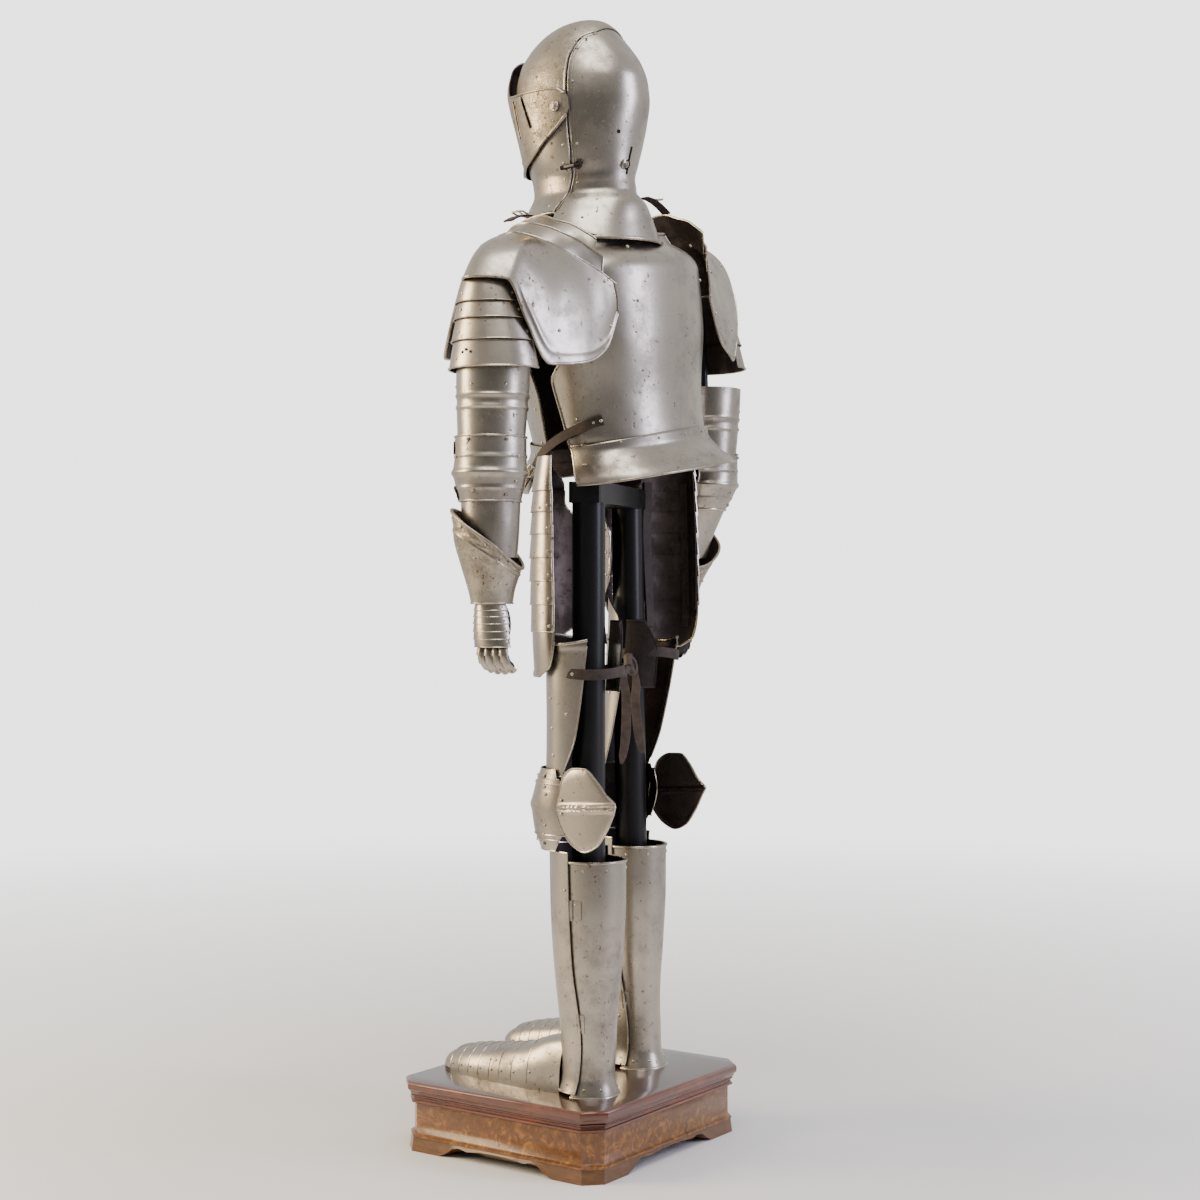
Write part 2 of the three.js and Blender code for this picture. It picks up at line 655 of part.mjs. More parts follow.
// The shoulder defence by stations from its front end, over the arm, to its rear end. Each has a
// point on the plate's outer edge, one on its upper edge and one beside the neck.
const shoulder = [
  { at: 0, outX: 128, outY: -60, outZ: 1388, topX: 132, topY: -56, topZ: 1440, neckX: 140, neckY: -40, neckZ: 1484, bulge: 2 },
  { at: 1, outX: 160, outY: -70, outZ: 1340, topX: 166, topY: -40, topZ: 1464, neckX: 150, neckY: -26, neckZ: 1502, bulge: 9 },
  { at: 2, outX: 215, outY: -74, outZ: 1318, topX: 200, topY: -16, topZ: 1482, neckX: 162, neckY: -8, neckZ: 1518, bulge: 14 },
  { at: 3, outX: 266, outY: -58, outZ: 1312, topX: 230, topY: 10, topZ: 1492, neckX: 170, neckY: 12, neckZ: 1531, bulge: 16 },
  { at: 4, outX: 316, outY: 18, outZ: 1408, topX: 248, topY: 36, topZ: 1496, neckX: 176, neckY: 34, neckZ: 1540, bulge: 16 },
  { at: 5, outX: 372, outY: 72, outZ: 1414, topX: 258, topY: 64, topZ: 1496, neckX: 178, neckY: 62, neckZ: 1543, bulge: 18 },
  { at: 6, outX: 348, outY: 126, outZ: 1410, topX: 250, topY: 94, topZ: 1489, neckX: 174, neckY: 96, neckZ: 1533, bulge: 19 },
  { at: 7, outX: 324, outY: 146, outZ: 1348, topX: 238, topY: 112, topZ: 1481, neckX: 168, neckY: 118, neckZ: 1525, bulge: 19 },
  { at: 8, outX: 280, outY: 158, outZ: 1288, topX: 216, topY: 130, topZ: 1470, neckX: 162, neckY: 136, neckZ: 1515, bulge: 16 },
  { at: 9, outX: 214, outY: 176, outZ: 1296, topX: 186, topY: 146, topZ: 1455, neckX: 156, neckY: 150, neckZ: 1505, bulge: 10 },
  { at: 10, outX: 168, outY: 180, outZ: 1320, topX: 160, topY: 162, topZ: 1440, neckX: 152, neckY: 160, neckZ: 1497, bulge: 7 },
  { at: 11, outX: 134, outY: 178, outZ: 1376, topX: 136, topY: 174, topZ: 1424, neckX: 148, neckY: 167, neckZ: 1488, bulge: 2 },
];
const shoulderHeart = new THREE.Vector3(225, 60, 1380);

function shoulderPoint(at, edge) {
  const place = (side) => new THREE.Vector3(...['X', 'Y', 'Z'].map((axis) => column(shoulder, side + axis, at, 'at')));
  const top = place('top');
  if (edge > 1) return top.lerp(place('neck'), edge - 1);
  const out = place('out');
  const middle = out.clone().add(top).multiplyScalar(0.5);
  const outward = middle.sub(shoulderHeart).normalize();
  const swell = column(shoulder, 'bulge', at, 'at') * Math.sin(Math.PI * edge);
  return out.lerp(top, edge).addScaledVector(outward, swell);
}

function shoulderBand(low, high, rows, cols, lift, first = 0, last = 11) {
  const grid = [];
  for (let i = 0; i <= rows; i += 1) {
    const edge = low + ((high - low) * i) / rows;
    const off = lift[0] + ((lift[1] - lift[0]) * i) / rows;
    const row = [];
    for (let j = 0; j <= cols; j += 1) {
      const at = first + ((last - first) * j) / cols;
      const p = shoulderPoint(at, edge);
      row.push(p.addScaledVector(p.clone().sub(shoulderHeart).normalize(), off));
    }
    grid.push(row);
  }
  return shell(grid);
}

// The right wing is drawn in towards the arm, so it spreads less over the back.
const rightWing = (z, y, x) => [-16 + 0.27 * (x - 130), rightShoulder.y, rightShoulder.z];

addPair('pauldron', shoulderBand(0, 1.04, 4, 18, [5.5, 5.5]), rightWing);
addPair('neck_lame_2', shoulderBand(0.94, 1.55, 2, 10, [-1.5, 2], 0.6, 10.4), rightWing);
addPair('neck_lame_1', shoulderBand(1.4, 2, 2, 10, [-6, -3], 1.2, 9.8), rightWing);

// ---------------------------------------------------------------- helmet

const helmet = new THREE.Group();
helmet.position.set(head.x, head.y, head.z);
helmet.rotation.y = radians(head.lean);
suit.add(helmet);

const pivot = { y: 22, z: 0, shank: 3, head: 8 };

const skull = [
  { z: -216, x: 0, y: 0, w: 128, f: 104, b: 140, square: 2, keel: 0 },
  { z: -190, x: 0, y: 0, w: 114, f: 100, b: 129, square: 2, keel: 2 },
  { z: -158, x: 0, y: 0, w: 92, f: 94, b: 113, square: 2, keel: 3 },
  { z: -127, x: 0, y: 0, w: 73, f: 85, b: 94, square: 2, keel: 4 },
  { z: -112, x: 0, y: 0, w: 73, f: 86, b: 92, square: 2, keel: 5 },
  { z: -84, x: 0, y: 0, w: 84, f: 91, b: 97, square: 2, keel: 5 },
  { z: -51, x: 0, y: 0, w: 94, f: 96, b: 105, square: 2, keel: 4 },
  { z: -18, x: 0, y: 0, w: 99, f: 102, b: 114, square: 2, keel: 3 },
  { z: 21, x: 0, y: 0, w: 100, f: 108, b: 121, square: 2, keel: 2 },
  { z: 49, x: 0, y: 0, w: 97, f: 110, b: 119, square: 2, keel: 2 },
  { z: 80, x: 0, y: 4, w: 88, f: 109, b: 104, square: 2, keel: 2 },
  { z: 104, x: 0, y: 8, w: 77, f: 98, b: 84, square: 2, keel: 2 },
  { z: 124, x: 0, y: 12, w: 62, f: 84, b: 64, square: 2, keel: 1 },
  { z: 140, x: 0, y: 16, w: 45, f: 64, b: 45, square: 2, keel: 0 },
  { z: 150, x: 0, y: 18, w: 26, f: 38, b: 27, square: 2, keel: 0 },
  { z: 154, x: 0, y: 20, w: 0, f: 0, b: 0, square: 2, keel: 0 },
];

// Rings run closer together towards the crown, where the last one is a single point.
function bowl(table, low, off, rows, cols) {
  const surface = sections(table);
  const high = table.at(-1).z;
  const grid = [];
  for (let i = 0; i <= rows; i += 1) {
    const z = low + (high - low) * Math.sin((Math.PI / 2) * (i / rows)) ** 1.1;
    const row = [];
    for (let j = 0; j <= cols; j += 1) {
      const p = surface(z, (360 * j) / cols);
      const out = new THREE.Vector3(p.x, p.y - 30 * (z > 100), Math.max(0, z) * 1.2).normalize();
      row.push(p.addScaledVector(out, off));
    }
    grid.push(row);
  }
  return shell(grid);
}

const reachX = 170;
const pivotHole = new THREE.CylinderGeometry(pivot.shank + 0.5, pivot.shank + 0.5, 2 * reachX, 12);
pivotHole.rotateZ(Math.PI / 2).translate(0, pivot.y, pivot.z);

const frontLift = 3;
const visorLift = 6;

// The joint between the front and rear of the helmet, seen from the side, crown first.
const seam = [
  [72, 200], [70, 146], [60, 124], [45, 112], [36, 80], [37, 20], [37, -25], [34, -71], [22, -127], [9, -166],
];
const behindSeam = seam.map(([y, z]) => [y + 0.6, z]);

const rearSkull = keep(bowl(skull, -214, 0, 11, 18), sideCutter([
  ...behindSeam, [9.6, -178], [60, -198], [120, -226], [220, -226], [220, 200],
], -reachX, reachX));

const frontSkull = cut(keep(bowl(skull, -60, frontLift, 7, 18), sideCutter([
  ...seam.slice(0, 7), [-20, -25], [-20, 24], [-98, 24], [-103, 96], [-190, 100], [-190, 200],
], -reachX, reachX)), pivotHole);

const bevor = keep(bowl(skull, -190, frontLift, 9, 18), sideCutter([
  [37, -25.6], ...seam.slice(7), [-60, -169], [-190, -167],
  [-190, -44], [-20, -38], [-20, -25.6],
], -reachX, reachX));

add('helmet_rear', rearSkull, bright, helmet);
add('helmet_front', frontSkull, bright, helmet);
add('helmet_bevor', bevor, bright, helmet);

const visorTable = skull.slice(3, 13).map((row) => ({
  ...row,
  f: row.f + 5 + 12 * Math.exp(-(((row.z - 60) / 60) ** 2)),
  w: row.w + 1,
  keel: row.keel + 6,
}));

function visor() {
  const surface = sections(visorTable);
  const grid = [];
  const heights = [-98, -60, -24, 4, 34, 76, 128];
  for (const z of heights) {
    const row = [];
    for (let angle = -112; angle <= 112; angle += 16) {
      row.push(standOff(surface, z, angle, visorLift));
    }
    grid.push(row);
  }
  const outline = [
    [44, -4], [43, 14], [36, 26], [20, 31], [-74, 33], [-98, 38], [-108, 74], [-116, 124],
    [-190, 126], [-190, -92], [-104, -92], [-84, -88], [-42, -74], [3, -47], [38, -20],
  ];
  const slit = (topY, top, lowY, low, width) => sideCutter(
    [[lowY, low], [lowY + width, low], [topY + width, top], [topY, top]], -reachX, reachX,
  );
  const face = keep(shell(grid), sideCutter(outline, -reachX, reachX));
  return cut(face, pivotHole, slit(-57, 32, -35, -27, 5), slit(-80, 26, -69, -38, 2.5));
}

add('visor', visor(), bright, helmet);

function pivotStud() {
  const side = 99;
  const profile = [
    [0, side - 6], [pivot.shank, side - 6], [pivot.shank, side + 8], [pivot.head, side + 8],
    [pivot.head, side + 9.5], [pivot.head * 0.6, side + 11.5], [0, side + 12.5],
  ];
  const stud = new THREE.LatheGeometry(profile.map(([r, along]) => new THREE.Vector2(r, along)), 12);
  return mergeVertices(bareOf(stud).rotateZ(-Math.PI / 2).translate(0, pivot.y, pivot.z), 1e-4);
}

function bareOf(geometry) {
  const bare = geometry.clone();
  bare.deleteAttribute('normal');
  bare.deleteAttribute('uv');
  return bare;
}

addPair('visor_pivot', pivotStud(), undefined, bright, helmet);

// ---------------------------------------------------------------- stand

const post = { radius: 27, left: [112, 112], right: [-105, 54], rightTop: -14, top: 1110 };

function standFrame() {
  const height = post.top - deck;
  const posts = [[post.left, 0], [post.right, post.rightTop]].map(([[x, y], over]) =>
    new THREE.CylinderGeometry(post.radius, post.radius, height, 16).rotateX(Math.PI / 2)
      .applyMatrix4(new THREE.Matrix4().makeShear(0, 0, 0, 0, 0, over / height))
      .translate(x, y + over / 2, deck + height / 2));
  const [ends, sides] = [post.left[0] - post.right[0], post.left[1] - post.right[1] - post.rightTop];
  const crossbar = new THREE.BoxGeometry(Math.hypot(ends, sides) + 2 * post.radius, 2 * post.radius, 34)
    .rotateZ(Math.atan2(sides, ends))
    .translate((post.left[0] + post.right[0]) / 2, (post.left[1] + post.right[1] + post.rightTop) / 2, post.top - 16);
  return join(posts[0], posts[1], crossbar);
}

add('stand_frame', standFrame(), blackPaint);

const board = { thick: 24, foot: -30 };

function torsoBoard() {
  const outline = [
    [-142, board.foot], [142, board.foot + 24], [150, 20], [160, 120], [166, 205], [138, 262],
    [124, 326], [96, 368], [48, 388], [-48, 388], [-96, 368], [-124, 326], [-138, 262],
    [-166, 205], [-160, 120], [-150, 20],
  ];
  const shape = new THREE.Shape(outline.map(([x, z]) => new THREE.Vector2(x, z)));
  const panel = new THREE.ExtrudeGeometry(shape, { depth: board.thick, bevelEnabled: false })
    .rotateX(Math.PI / 2).translate(0, board.thick / 2, 0);
  const neck = bar([[0, 0, 370], [2, -4, 440], [4, -16, 560], [4, -22, 650]], roundSection(12, 10))(5);
  return join(panel, neck);
}

add('stand_torso', torsoBoard(), blackPaint, cuirass);

const rodRadius = 9;
const rodY = waist.y + board.thick / 2 + rodRadius + 0.6;

const armRod = bar([
  [310, 67, 930], [317, 70, 1118], [316, 74, 1300], [300, 84, 1400], [235, rodY, 1440],
  [120, rodY, 1462], [0, rodY, 1470], [-110, rodY, 1474], [-205, rodY, 1462],
  [-272, 84, 1415], [-290, 80, 1310], [-296, 78, 1140], [-294, 38, 1020], [-287, 20, 945],
], roundSection(rodRadius, 6))(26);
add('stand_arm_rod', armRod, blackPaint);

// ---------------------------------------------------------------- straps

add('waist_strap', strap([
  [156, 62, 84], [171, 36, 77], [177, -12, 60], [170, -54, 38], [178, -76, 8], [192, -90, -20],
], [
  [0.8, 0.6, 0], [0.95, 0.3, 0], [1, -0.1, 0], [1, -0.3, 0], [1, -0.4, 0.2], [1, -0.4, 0.3],
], 16), leather, cuirass);

addPair('shoulder_strap', strap([
  [214, 8, 1541], [192, 6, 1549], [170, 4, 1549], [150, 2, 1541],
], [[0.2, 0, 1], [0, 0, 1], [-0.2, 0, 1], [-0.3, 0, 1]], 18), () => [60, 92, 54], leather);

// The whole is centred over its own footprint.
suit.position.set(-8, -16, 0);

export default suit;
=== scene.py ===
import json
import math

import bmesh
import bpy
import numpy as np
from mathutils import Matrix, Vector

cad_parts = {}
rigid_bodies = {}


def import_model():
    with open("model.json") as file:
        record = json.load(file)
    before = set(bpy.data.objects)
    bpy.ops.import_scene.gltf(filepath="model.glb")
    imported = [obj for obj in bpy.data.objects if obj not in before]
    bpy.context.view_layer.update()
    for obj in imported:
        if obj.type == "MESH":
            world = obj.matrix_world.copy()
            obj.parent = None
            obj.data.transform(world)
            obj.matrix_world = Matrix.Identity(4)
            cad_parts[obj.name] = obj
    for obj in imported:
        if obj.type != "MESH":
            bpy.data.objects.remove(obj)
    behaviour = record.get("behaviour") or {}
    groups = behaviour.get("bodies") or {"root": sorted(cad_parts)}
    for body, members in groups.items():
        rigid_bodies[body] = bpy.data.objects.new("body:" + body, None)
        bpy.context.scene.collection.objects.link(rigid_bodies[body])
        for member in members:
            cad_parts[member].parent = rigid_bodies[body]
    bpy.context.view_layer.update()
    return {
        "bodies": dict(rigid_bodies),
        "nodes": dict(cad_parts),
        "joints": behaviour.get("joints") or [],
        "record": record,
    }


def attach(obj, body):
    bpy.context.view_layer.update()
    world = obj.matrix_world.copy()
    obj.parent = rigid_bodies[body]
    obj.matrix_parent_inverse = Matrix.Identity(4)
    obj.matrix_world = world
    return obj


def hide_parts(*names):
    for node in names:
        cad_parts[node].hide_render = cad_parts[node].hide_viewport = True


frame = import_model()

# A full suit of plate armour on its stand. Tables are in millimetres, and meshes are made in metres.

mm = 0.001
steel = 1.6  # plate thickness
lapGap = 0.5
hide = 3  # strap thickness
footprint = np.array([-8.0, -16.0, 0.0])  # the plinth's centre, seen from the frame's origin
plinth = {"width": 453, "depth": 416, "corner": 32, "top": 117, "inset": 13}
deck = plinth["top"]
waist = {"x": -45, "y": 85, "z": 1150, "lean": 8.6}
head = {"x": 38, "y": 46, "z": 1729, "lean": 3}
rightArm = {"x": 8, "z": 10}
rightShoulder = {"x": 28, "y": 2, "z": 58}


class Wire:
    # one output socket, so that shader maths reads as plain expressions
    def __init__(self, tree, socket):
        self.tree = tree
        self.socket = socket

    def maths(self, operation, other=None, swapped=False):
        node = self.tree.nodes.new("ShaderNodeMath")
        node.operation = operation
        first, second = (1, 0) if swapped else (0, 1)
        self.tree.links.new(self.socket, node.inputs[first])
        if isinstance(other, Wire):
            self.tree.links.new(other.socket, node.inputs[second])
        elif other is not None:
            node.inputs[second].default_value = other
        return Wire(self.tree, node.outputs[0])

    def __add__(self, other):
        return self.maths("ADD", other)

    def __sub__(self, other):
        return self.maths("SUBTRACT", other)

    def __rsub__(self, other):
        return self.maths("SUBTRACT", other, swapped=True)

    def __mul__(self, other):
        return self.maths("MULTIPLY", other)

    __radd__ = __add__
    __rmul__ = __mul__

    def above(self, level, soft=0.05):
        # 0 below the level, 1 above it, with a soft step between
        rise = (self - (level - soft)) * (1 / (2 * soft))
        return rise.maths("MINIMUM", 1.0).maths("MAXIMUM", 0.0)


class Nodes:
    # a node tree, and the one way in which nodes are added to it
    def __init__(self, tree):
        self.tree = tree

    def node(self, kind, settings=None, sockets=None, out=0):
        made = self.tree.nodes.new("ShaderNode" + kind)
        for key, value in (settings or {}).items():
            if key == "stops":
                while len(made.color_ramp.elements) < len(value):
                    made.color_ramp.elements.new(0.5)
                for element, (at, tone) in zip(made.color_ramp.elements, value):
                    element.position, element.color = at, (*tone, 1)
            else:
                setattr(made, key, value)
        for key, value in (sockets or {}).items():
            self.feed(made.inputs[key], value)
        return Wire(self.tree, made.outputs[out])

    def feed(self, socket, value):
        if isinstance(value, Wire):
            self.tree.links.new(value.socket, socket)
        else:
            socket.default_value = value


class Finish(Nodes):
    # one material: a shader, and what feeds it
    def __init__(self, name, **constants):
        self.material = bpy.data.materials.new(name)
        self.material.use_nodes = True
        super().__init__(self.material.node_tree)
        self.shader = self.tree.nodes["Principled BSDF"]
        self.paint(**constants)
        self.place = self.node("TexCoord", out="Object")

    def noise(self, scale, detail=4, rough=0.55, stretch=(1, 1, 1), warp=0.0):
        at = self.node("Mapping", sockets={"Vector": self.place, "Scale": stretch})
        return self.node("TexNoise", {"noise_dimensions": "3D"}, {
            "Vector": at, "Scale": scale, "Detail": detail, "Roughness": rough, "Distortion": warp})

    def mix(self, share, first, second):
        return self.node("Mix", {"data_type": "RGBA"}, {0: share, 6: first, 7: second}, out=2)

    def paint(self, **inputs):
        for key, value in inputs.items():
            self.feed(self.shader.inputs[key.replace("_", " ")], value)

    def bump(self, height, depth, strength=1.0):
        # height is 0 to 1, depth in metres
        lump = self.node("Bump", sockets={"Height": height, "Distance": depth, "Strength": strength})
        self.paint(Normal=lump)


def colour(red, green, blue):
    return (red, green, blue, 1)


# the finishes

def steelFinish(name, light, shade, rust, worn=0.5, rough=0.3, etched=0.0):
    # light and shade are the plate's two tones, rust is the stain, worn is how much of it shows
    made = Finish(name, Metallic=1.0)
    broad = made.noise(5, detail=3, warp=0.6)
    cloud = made.noise(24, detail=7, rough=0.68)
    grit = made.noise(420, detail=3, rough=0.6)
    speck = made.noise(135, detail=2, rough=0.5)
    brush = made.noise(60, detail=4, rough=0.7, stretch=(1, 1, 16))
    scratch = made.noise(34, detail=8, rough=0.8, stretch=(1, 9, 2), warp=0.4)
    tone = made.mix((broad * 0.6 + cloud * 0.6 - 0.1).above(0.52, 0.2), light, shade)
    stain = (cloud * 0.6 + broad * 0.4).above(0.585 - 0.05 * worn, 0.07) * (0.6 * worn)
    pits = speck.above(0.69 - 0.03 * worn, 0.02) * cloud.above(0.49, 0.08)
    dirty = (stain + pits * 0.85 + grit.above(0.64, 0.06) * (0.35 * worn)
             + scratch.above(0.66, 0.015) * 0.22).maths("MINIMUM", 1.0)
    height = (broad * 0.5 + cloud * 0.16 + brush * 0.012 + grit * 0.018 - pits * 0.1
              - scratch.above(0.66, 0.02) * 0.012)
    if etched:
        # scrolling leaves, bitten into the plate
        curl = made.noise(34, detail=2, rough=0.4, warp=2.4)
        vein = ((curl * 26).maths("SINE").maths("ABSOLUTE") * -1 + 0.34).above(0.1, 0.1)
        leaf = made.noise(120, detail=1, warp=1.6).above(0.55, 0.04)
        cut = (vein + leaf * 0.5).maths("MINIMUM", 1.0) * broad.above(0.4, 0.16) * etched
        dirty = (dirty + cut * 0.55).maths("MINIMUM", 1.0)
        height = height - cut * 0.09
    made.paint(
        Base_Color=made.mix(dirty, tone, rust),
        Roughness=rough + cloud * 0.2 + brush * 0.1 + dirty * 0.3 - 0.14,
        Metallic=1 - dirty * 0.5,
    )
    made.bump(height, 0.0026, 0.5)
    return made.material


def leatherFinish(name, dark, light, rough=0.55):
    made = Finish(name)
    grain = made.noise(900, detail=4, rough=0.7)
    fold = made.noise(70, detail=5, rough=0.6, stretch=(1, 1, 2))
    wear = made.noise(22, detail=6, rough=0.7)
    made.paint(
        Base_Color=made.mix((wear * 0.8 + fold * 0.4).above(0.62, 0.14), dark, light),
        Roughness=rough + fold * 0.25 - wear * 0.1,
    )
    made.bump(grain * 0.35 + fold * 0.65, 0.0012)
    return made.material


def paintFinish(name, base, dust, rough=0.22):
    made = Finish(name, Coat_Weight=0.12, Coat_Roughness=0.18, Specular_IOR_Level=0.28)
    smear = made.noise(9, detail=6, rough=0.6, stretch=(1, 1, 0.3))
    grit = made.noise(260, detail=3)
    made.paint(
        Base_Color=made.mix(smear.above(0.58, 0.12) * 0.5 + grit.above(0.7, 0.04) * 0.4, base, dust),
        Roughness=rough + smear * 0.3 - 0.05,
    )
    made.bump(smear * 0.7 + grit * 0.1, 0.0008)
    return made.material


def woodFinish(name, dark, middle, light, stretch, figure, gloss=0.5):
    # figure 0 is straight grain along the stretched axis, 1 is a burl
    made = Finish(name, Coat_Weight=gloss, Coat_Roughness=0.1)
    wander = made.noise(9 + 14 * figure, detail=5, rough=0.6, warp=1.2 + 2.5 * figure)
    grain = made.noise(46 if figure else 30, detail=8, rough=0.62, stretch=stretch, warp=0.4 + 2.2 * figure)
    pore = made.noise(420, detail=2, rough=0.5, stretch=stretch)
    swirl = (wander * 9.0 + grain * 2.0).maths("SINE") * 0.5 + 0.5
    ramp = made.node("ValToRGB", {"stops": [(0.0, dark), (0.5, middle), (1.0, light)]},
                     {"Fac": swirl * (0.35 + 0.2 * figure) + grain * 0.55})
    nick = made.noise(15, detail=7, rough=0.75).above(0.68, 0.02)
    made.paint(
        Base_Color=made.mix(pore.above(0.66, 0.06) * 0.45 + nick * 0.5, ramp, colour(*dark)),
        Roughness=0.24 + grain * 0.16 + nick * 0.3,
    )
    made.bump(grain * 0.5 + pore * 0.3 - nick * 0.6, 0.0005)
    return made.material


brightSteel = steelFinish("brightSteel", colour(0.50, 0.45, 0.37), colour(0.33, 0.305, 0.275),
                          colour(0.13, 0.085, 0.05), 0.6)
etchedSteel = steelFinish("etchedSteel", colour(0.50, 0.445, 0.35), colour(0.34, 0.305, 0.255),
                          colour(0.13, 0.09, 0.05), 0.7, etched=0.8)
# the plates' insides: steel painted much darker than the outside, as painted shade; its stains and rust are
# real
shadedInnerSteel = steelFinish("shadedInnerSteel", colour(0.105, 0.082, 0.075), colour(0.045, 0.034, 0.031),
                         colour(0.035, 0.024, 0.018), worn=1.2, rough=0.45)
# darker still: painted shade on the leg plates' insides, and also the near-black outside and trim of the
# thighs' inner panels
shadeAndDarkInner = steelFinish("shadeAndDarkInner", colour(0.06, 0.052, 0.052), colour(0.035, 0.03, 0.03),
                        colour(0.018, 0.013, 0.01), worn=1.0, rough=0.5)
edgeSteel = steelFinish("edgeSteel", colour(0.55, 0.49, 0.39), colour(0.37, 0.335, 0.285),
                        colour(0.10, 0.065, 0.04), worn=0.8, rough=0.26)
darkLeather = leatherFinish("darkLeather", colour(0.014, 0.008, 0.006), colour(0.055, 0.031, 0.02))
tanLeather = leatherFinish("tanLeather", colour(0.05, 0.032, 0.023), colour(0.12, 0.082, 0.062))
gloveLeather = leatherFinish("gloveLeather", colour(0.007, 0.006, 0.006), colour(0.024, 0.021, 0.019), 0.6)
standPaint = paintFinish("standPaint", colour(0.004, 0.004, 0.005), colour(0.018, 0.017, 0.017), 0.3)
boardPaint = paintFinish("boardPaint", colour(0.004, 0.004, 0.004), colour(0.015, 0.014, 0.013), 0.5)
topWood = woodFinish("topWood", (0.014, 0.006, 0.004), (0.045, 0.017, 0.009), (0.10, 0.038, 0.018),
                     (1, 12, 12), 0, 0.9)
mouldWood = woodFinish("mouldWood", (0.035, 0.008, 0.003), (0.15, 0.034, 0.01), (0.30, 0.085, 0.022),
                       (1.5, 1.5, 14), 0, 0.8)
burlWood = woodFinish("burlWood", (0.045, 0.014, 0.003), (0.215, 0.083, 0.014), (0.45, 0.20, 0.036),
                      (1, 1, 1), 1, 0.3)
footWood = woodFinish("footWood", (0.05, 0.02, 0.006), (0.17, 0.075, 0.02), (0.31, 0.15, 0.042),
                      (1.5, 1.5, 9), 0, 0.25)
# near-black: painted shade in holes and inside and under the plinth, and also the helmet's lace, hook base and
# eye
shadeAndBlack = Finish("shadeAndBlackFinish", Roughness=0.9, Base_Color=colour(0.01, 0.008, 0.007)).material
print("materials ready")


# tables, and the surfaces that they describe

def column(table, name, at, by="z"):
    # a table's column between its rows: smooth, and never past a row's own value
    stop = np.array([row[by] for row in table], float)
    value = np.array([row[name] for row in table], float)
    slope = np.diff(value) / np.diff(stop)
    pull = np.concatenate([[slope[0]], np.zeros(len(stop) - 2), [slope[-1]]])
    product, total = slope[:-1] * slope[1:], slope[:-1] + slope[1:]
    pull[1:-1] = np.where(product > 0, 2 * product / np.where(total == 0, 1, total), 0)
    at = np.asarray(at, float)
    k = np.clip(np.searchsorted(stop, at, side="right") - 1, 0, len(stop) - 2)
    span = stop[k + 1] - stop[k]
    t = np.clip((at - stop[k]) / span, 0, 1)
    bend = t * (1 - t) * ((1 - t) * pull[k] - t * pull[k + 1]) * span
    return value[k] + (value[k + 1] - value[k]) * t * t * (3 - 2 * t) + bend


def rows(names, *lines):
    return [dict(zip(names.split(), line)) for line in lines]


def edges(*lines):
    # a plate's two sides: the angle that it starts and ends at, height by height
    return rows("z from to", *lines)


def signedPower(value, power):
    return np.sign(value) * np.abs(value) ** power


def sections(table):
    # a surface of level sections: angle 0 is the front, 90 the wearer's left, 180 the back
    table = [{"square": 2, "keel": 0, **row} for row in table]

    def surface(z, angle):
        z, angle = np.broadcast_arrays(np.asarray(z, float), np.asarray(angle, float))
        side, ahead = np.sin(np.radians(angle)), np.cos(np.radians(angle))
        power = 2 / column(table, "square", z)
        reach = np.where(ahead > 0, column(table, "f", z), column(table, "b", z))
        ridge = column(table, "keel", z) * np.maximum(0, ahead) ** 12
        return np.stack([
            column(table, "x", z) + column(table, "w", z) * signedPower(side, power),
            column(table, "y", z) - reach * signedPower(ahead, power) - ridge,
            z], axis=-1)
    return surface


def levels(*lines):
    # height, centre and half-widths: to the side, to the front and to the back
    return sections(rows("z x y w f b square keel", *lines))


def unit(v):
    length = np.linalg.norm(v, axis=-1, keepdims=True)
    return v / np.where(length < 1e-9, 1, length)


def outward(surface, z, angle):
    across = surface(z, np.asarray(angle) + 1) - surface(z, np.asarray(angle) - 1)
    up = surface(np.asarray(z) + 1, angle) - surface(np.asarray(z) - 1, angle)
    return unit(np.cross(across, up))


def standOff(surface, z, angle, off=0):
    # points on the surface, moved out
    z, angle = np.broadcast_arrays(np.asarray(z, float), np.asarray(angle, float))
    off = np.asarray(off, float)
    return surface(z, angle) + outward(surface, z, angle) * (off[..., None] if off.ndim else off)


def plateGrid(surface, edge, size=(24, 40), lift=(0, 0), slant=None, relief=None):
    # the edge table has z, from and to; slant moves points up or down; relief raises them
    low, high = edge[0]["z"], edge[-1]["z"]
    t = np.linspace(0, 1, size[0] + 1)[:, None]
    u = np.linspace(0, 1, size[1] + 1)[None, :]
    z = low + (high - low) * t
    start, end = column(edge, "from", z), column(edge, "to", z)
    angle = start + (end - start) * u
    height = z + (slant(angle, t) if slant else 0)
    height, angle, t = np.broadcast_arrays(height, angle, t)
    off = lift[0] + (lift[1] - lift[0]) * t + (relief(height, angle) if relief else 0)
    return standOff(surface, height, angle, off)


def smoothLine(points, count=40):
    # a round curve through a few points
    points = np.asarray(points, float)
    padded = np.vstack([2 * points[0] - points[1], points, 2 * points[-1] - points[-2]])
    spans = len(padded) - 3
    at = np.linspace(0, spans, count)
    k = np.minimum(at.astype(int), spans - 1)
    t = (at - k)[:, None]
    a, b, c, d = (padded[k + i] for i in range(4))
    return 0.5 * (2 * b + (c - a) * t + (2 * a - 5 * b + 4 * c - d) * t ** 2 + (3 * b - a - 3 * c + d) * t ** 3)


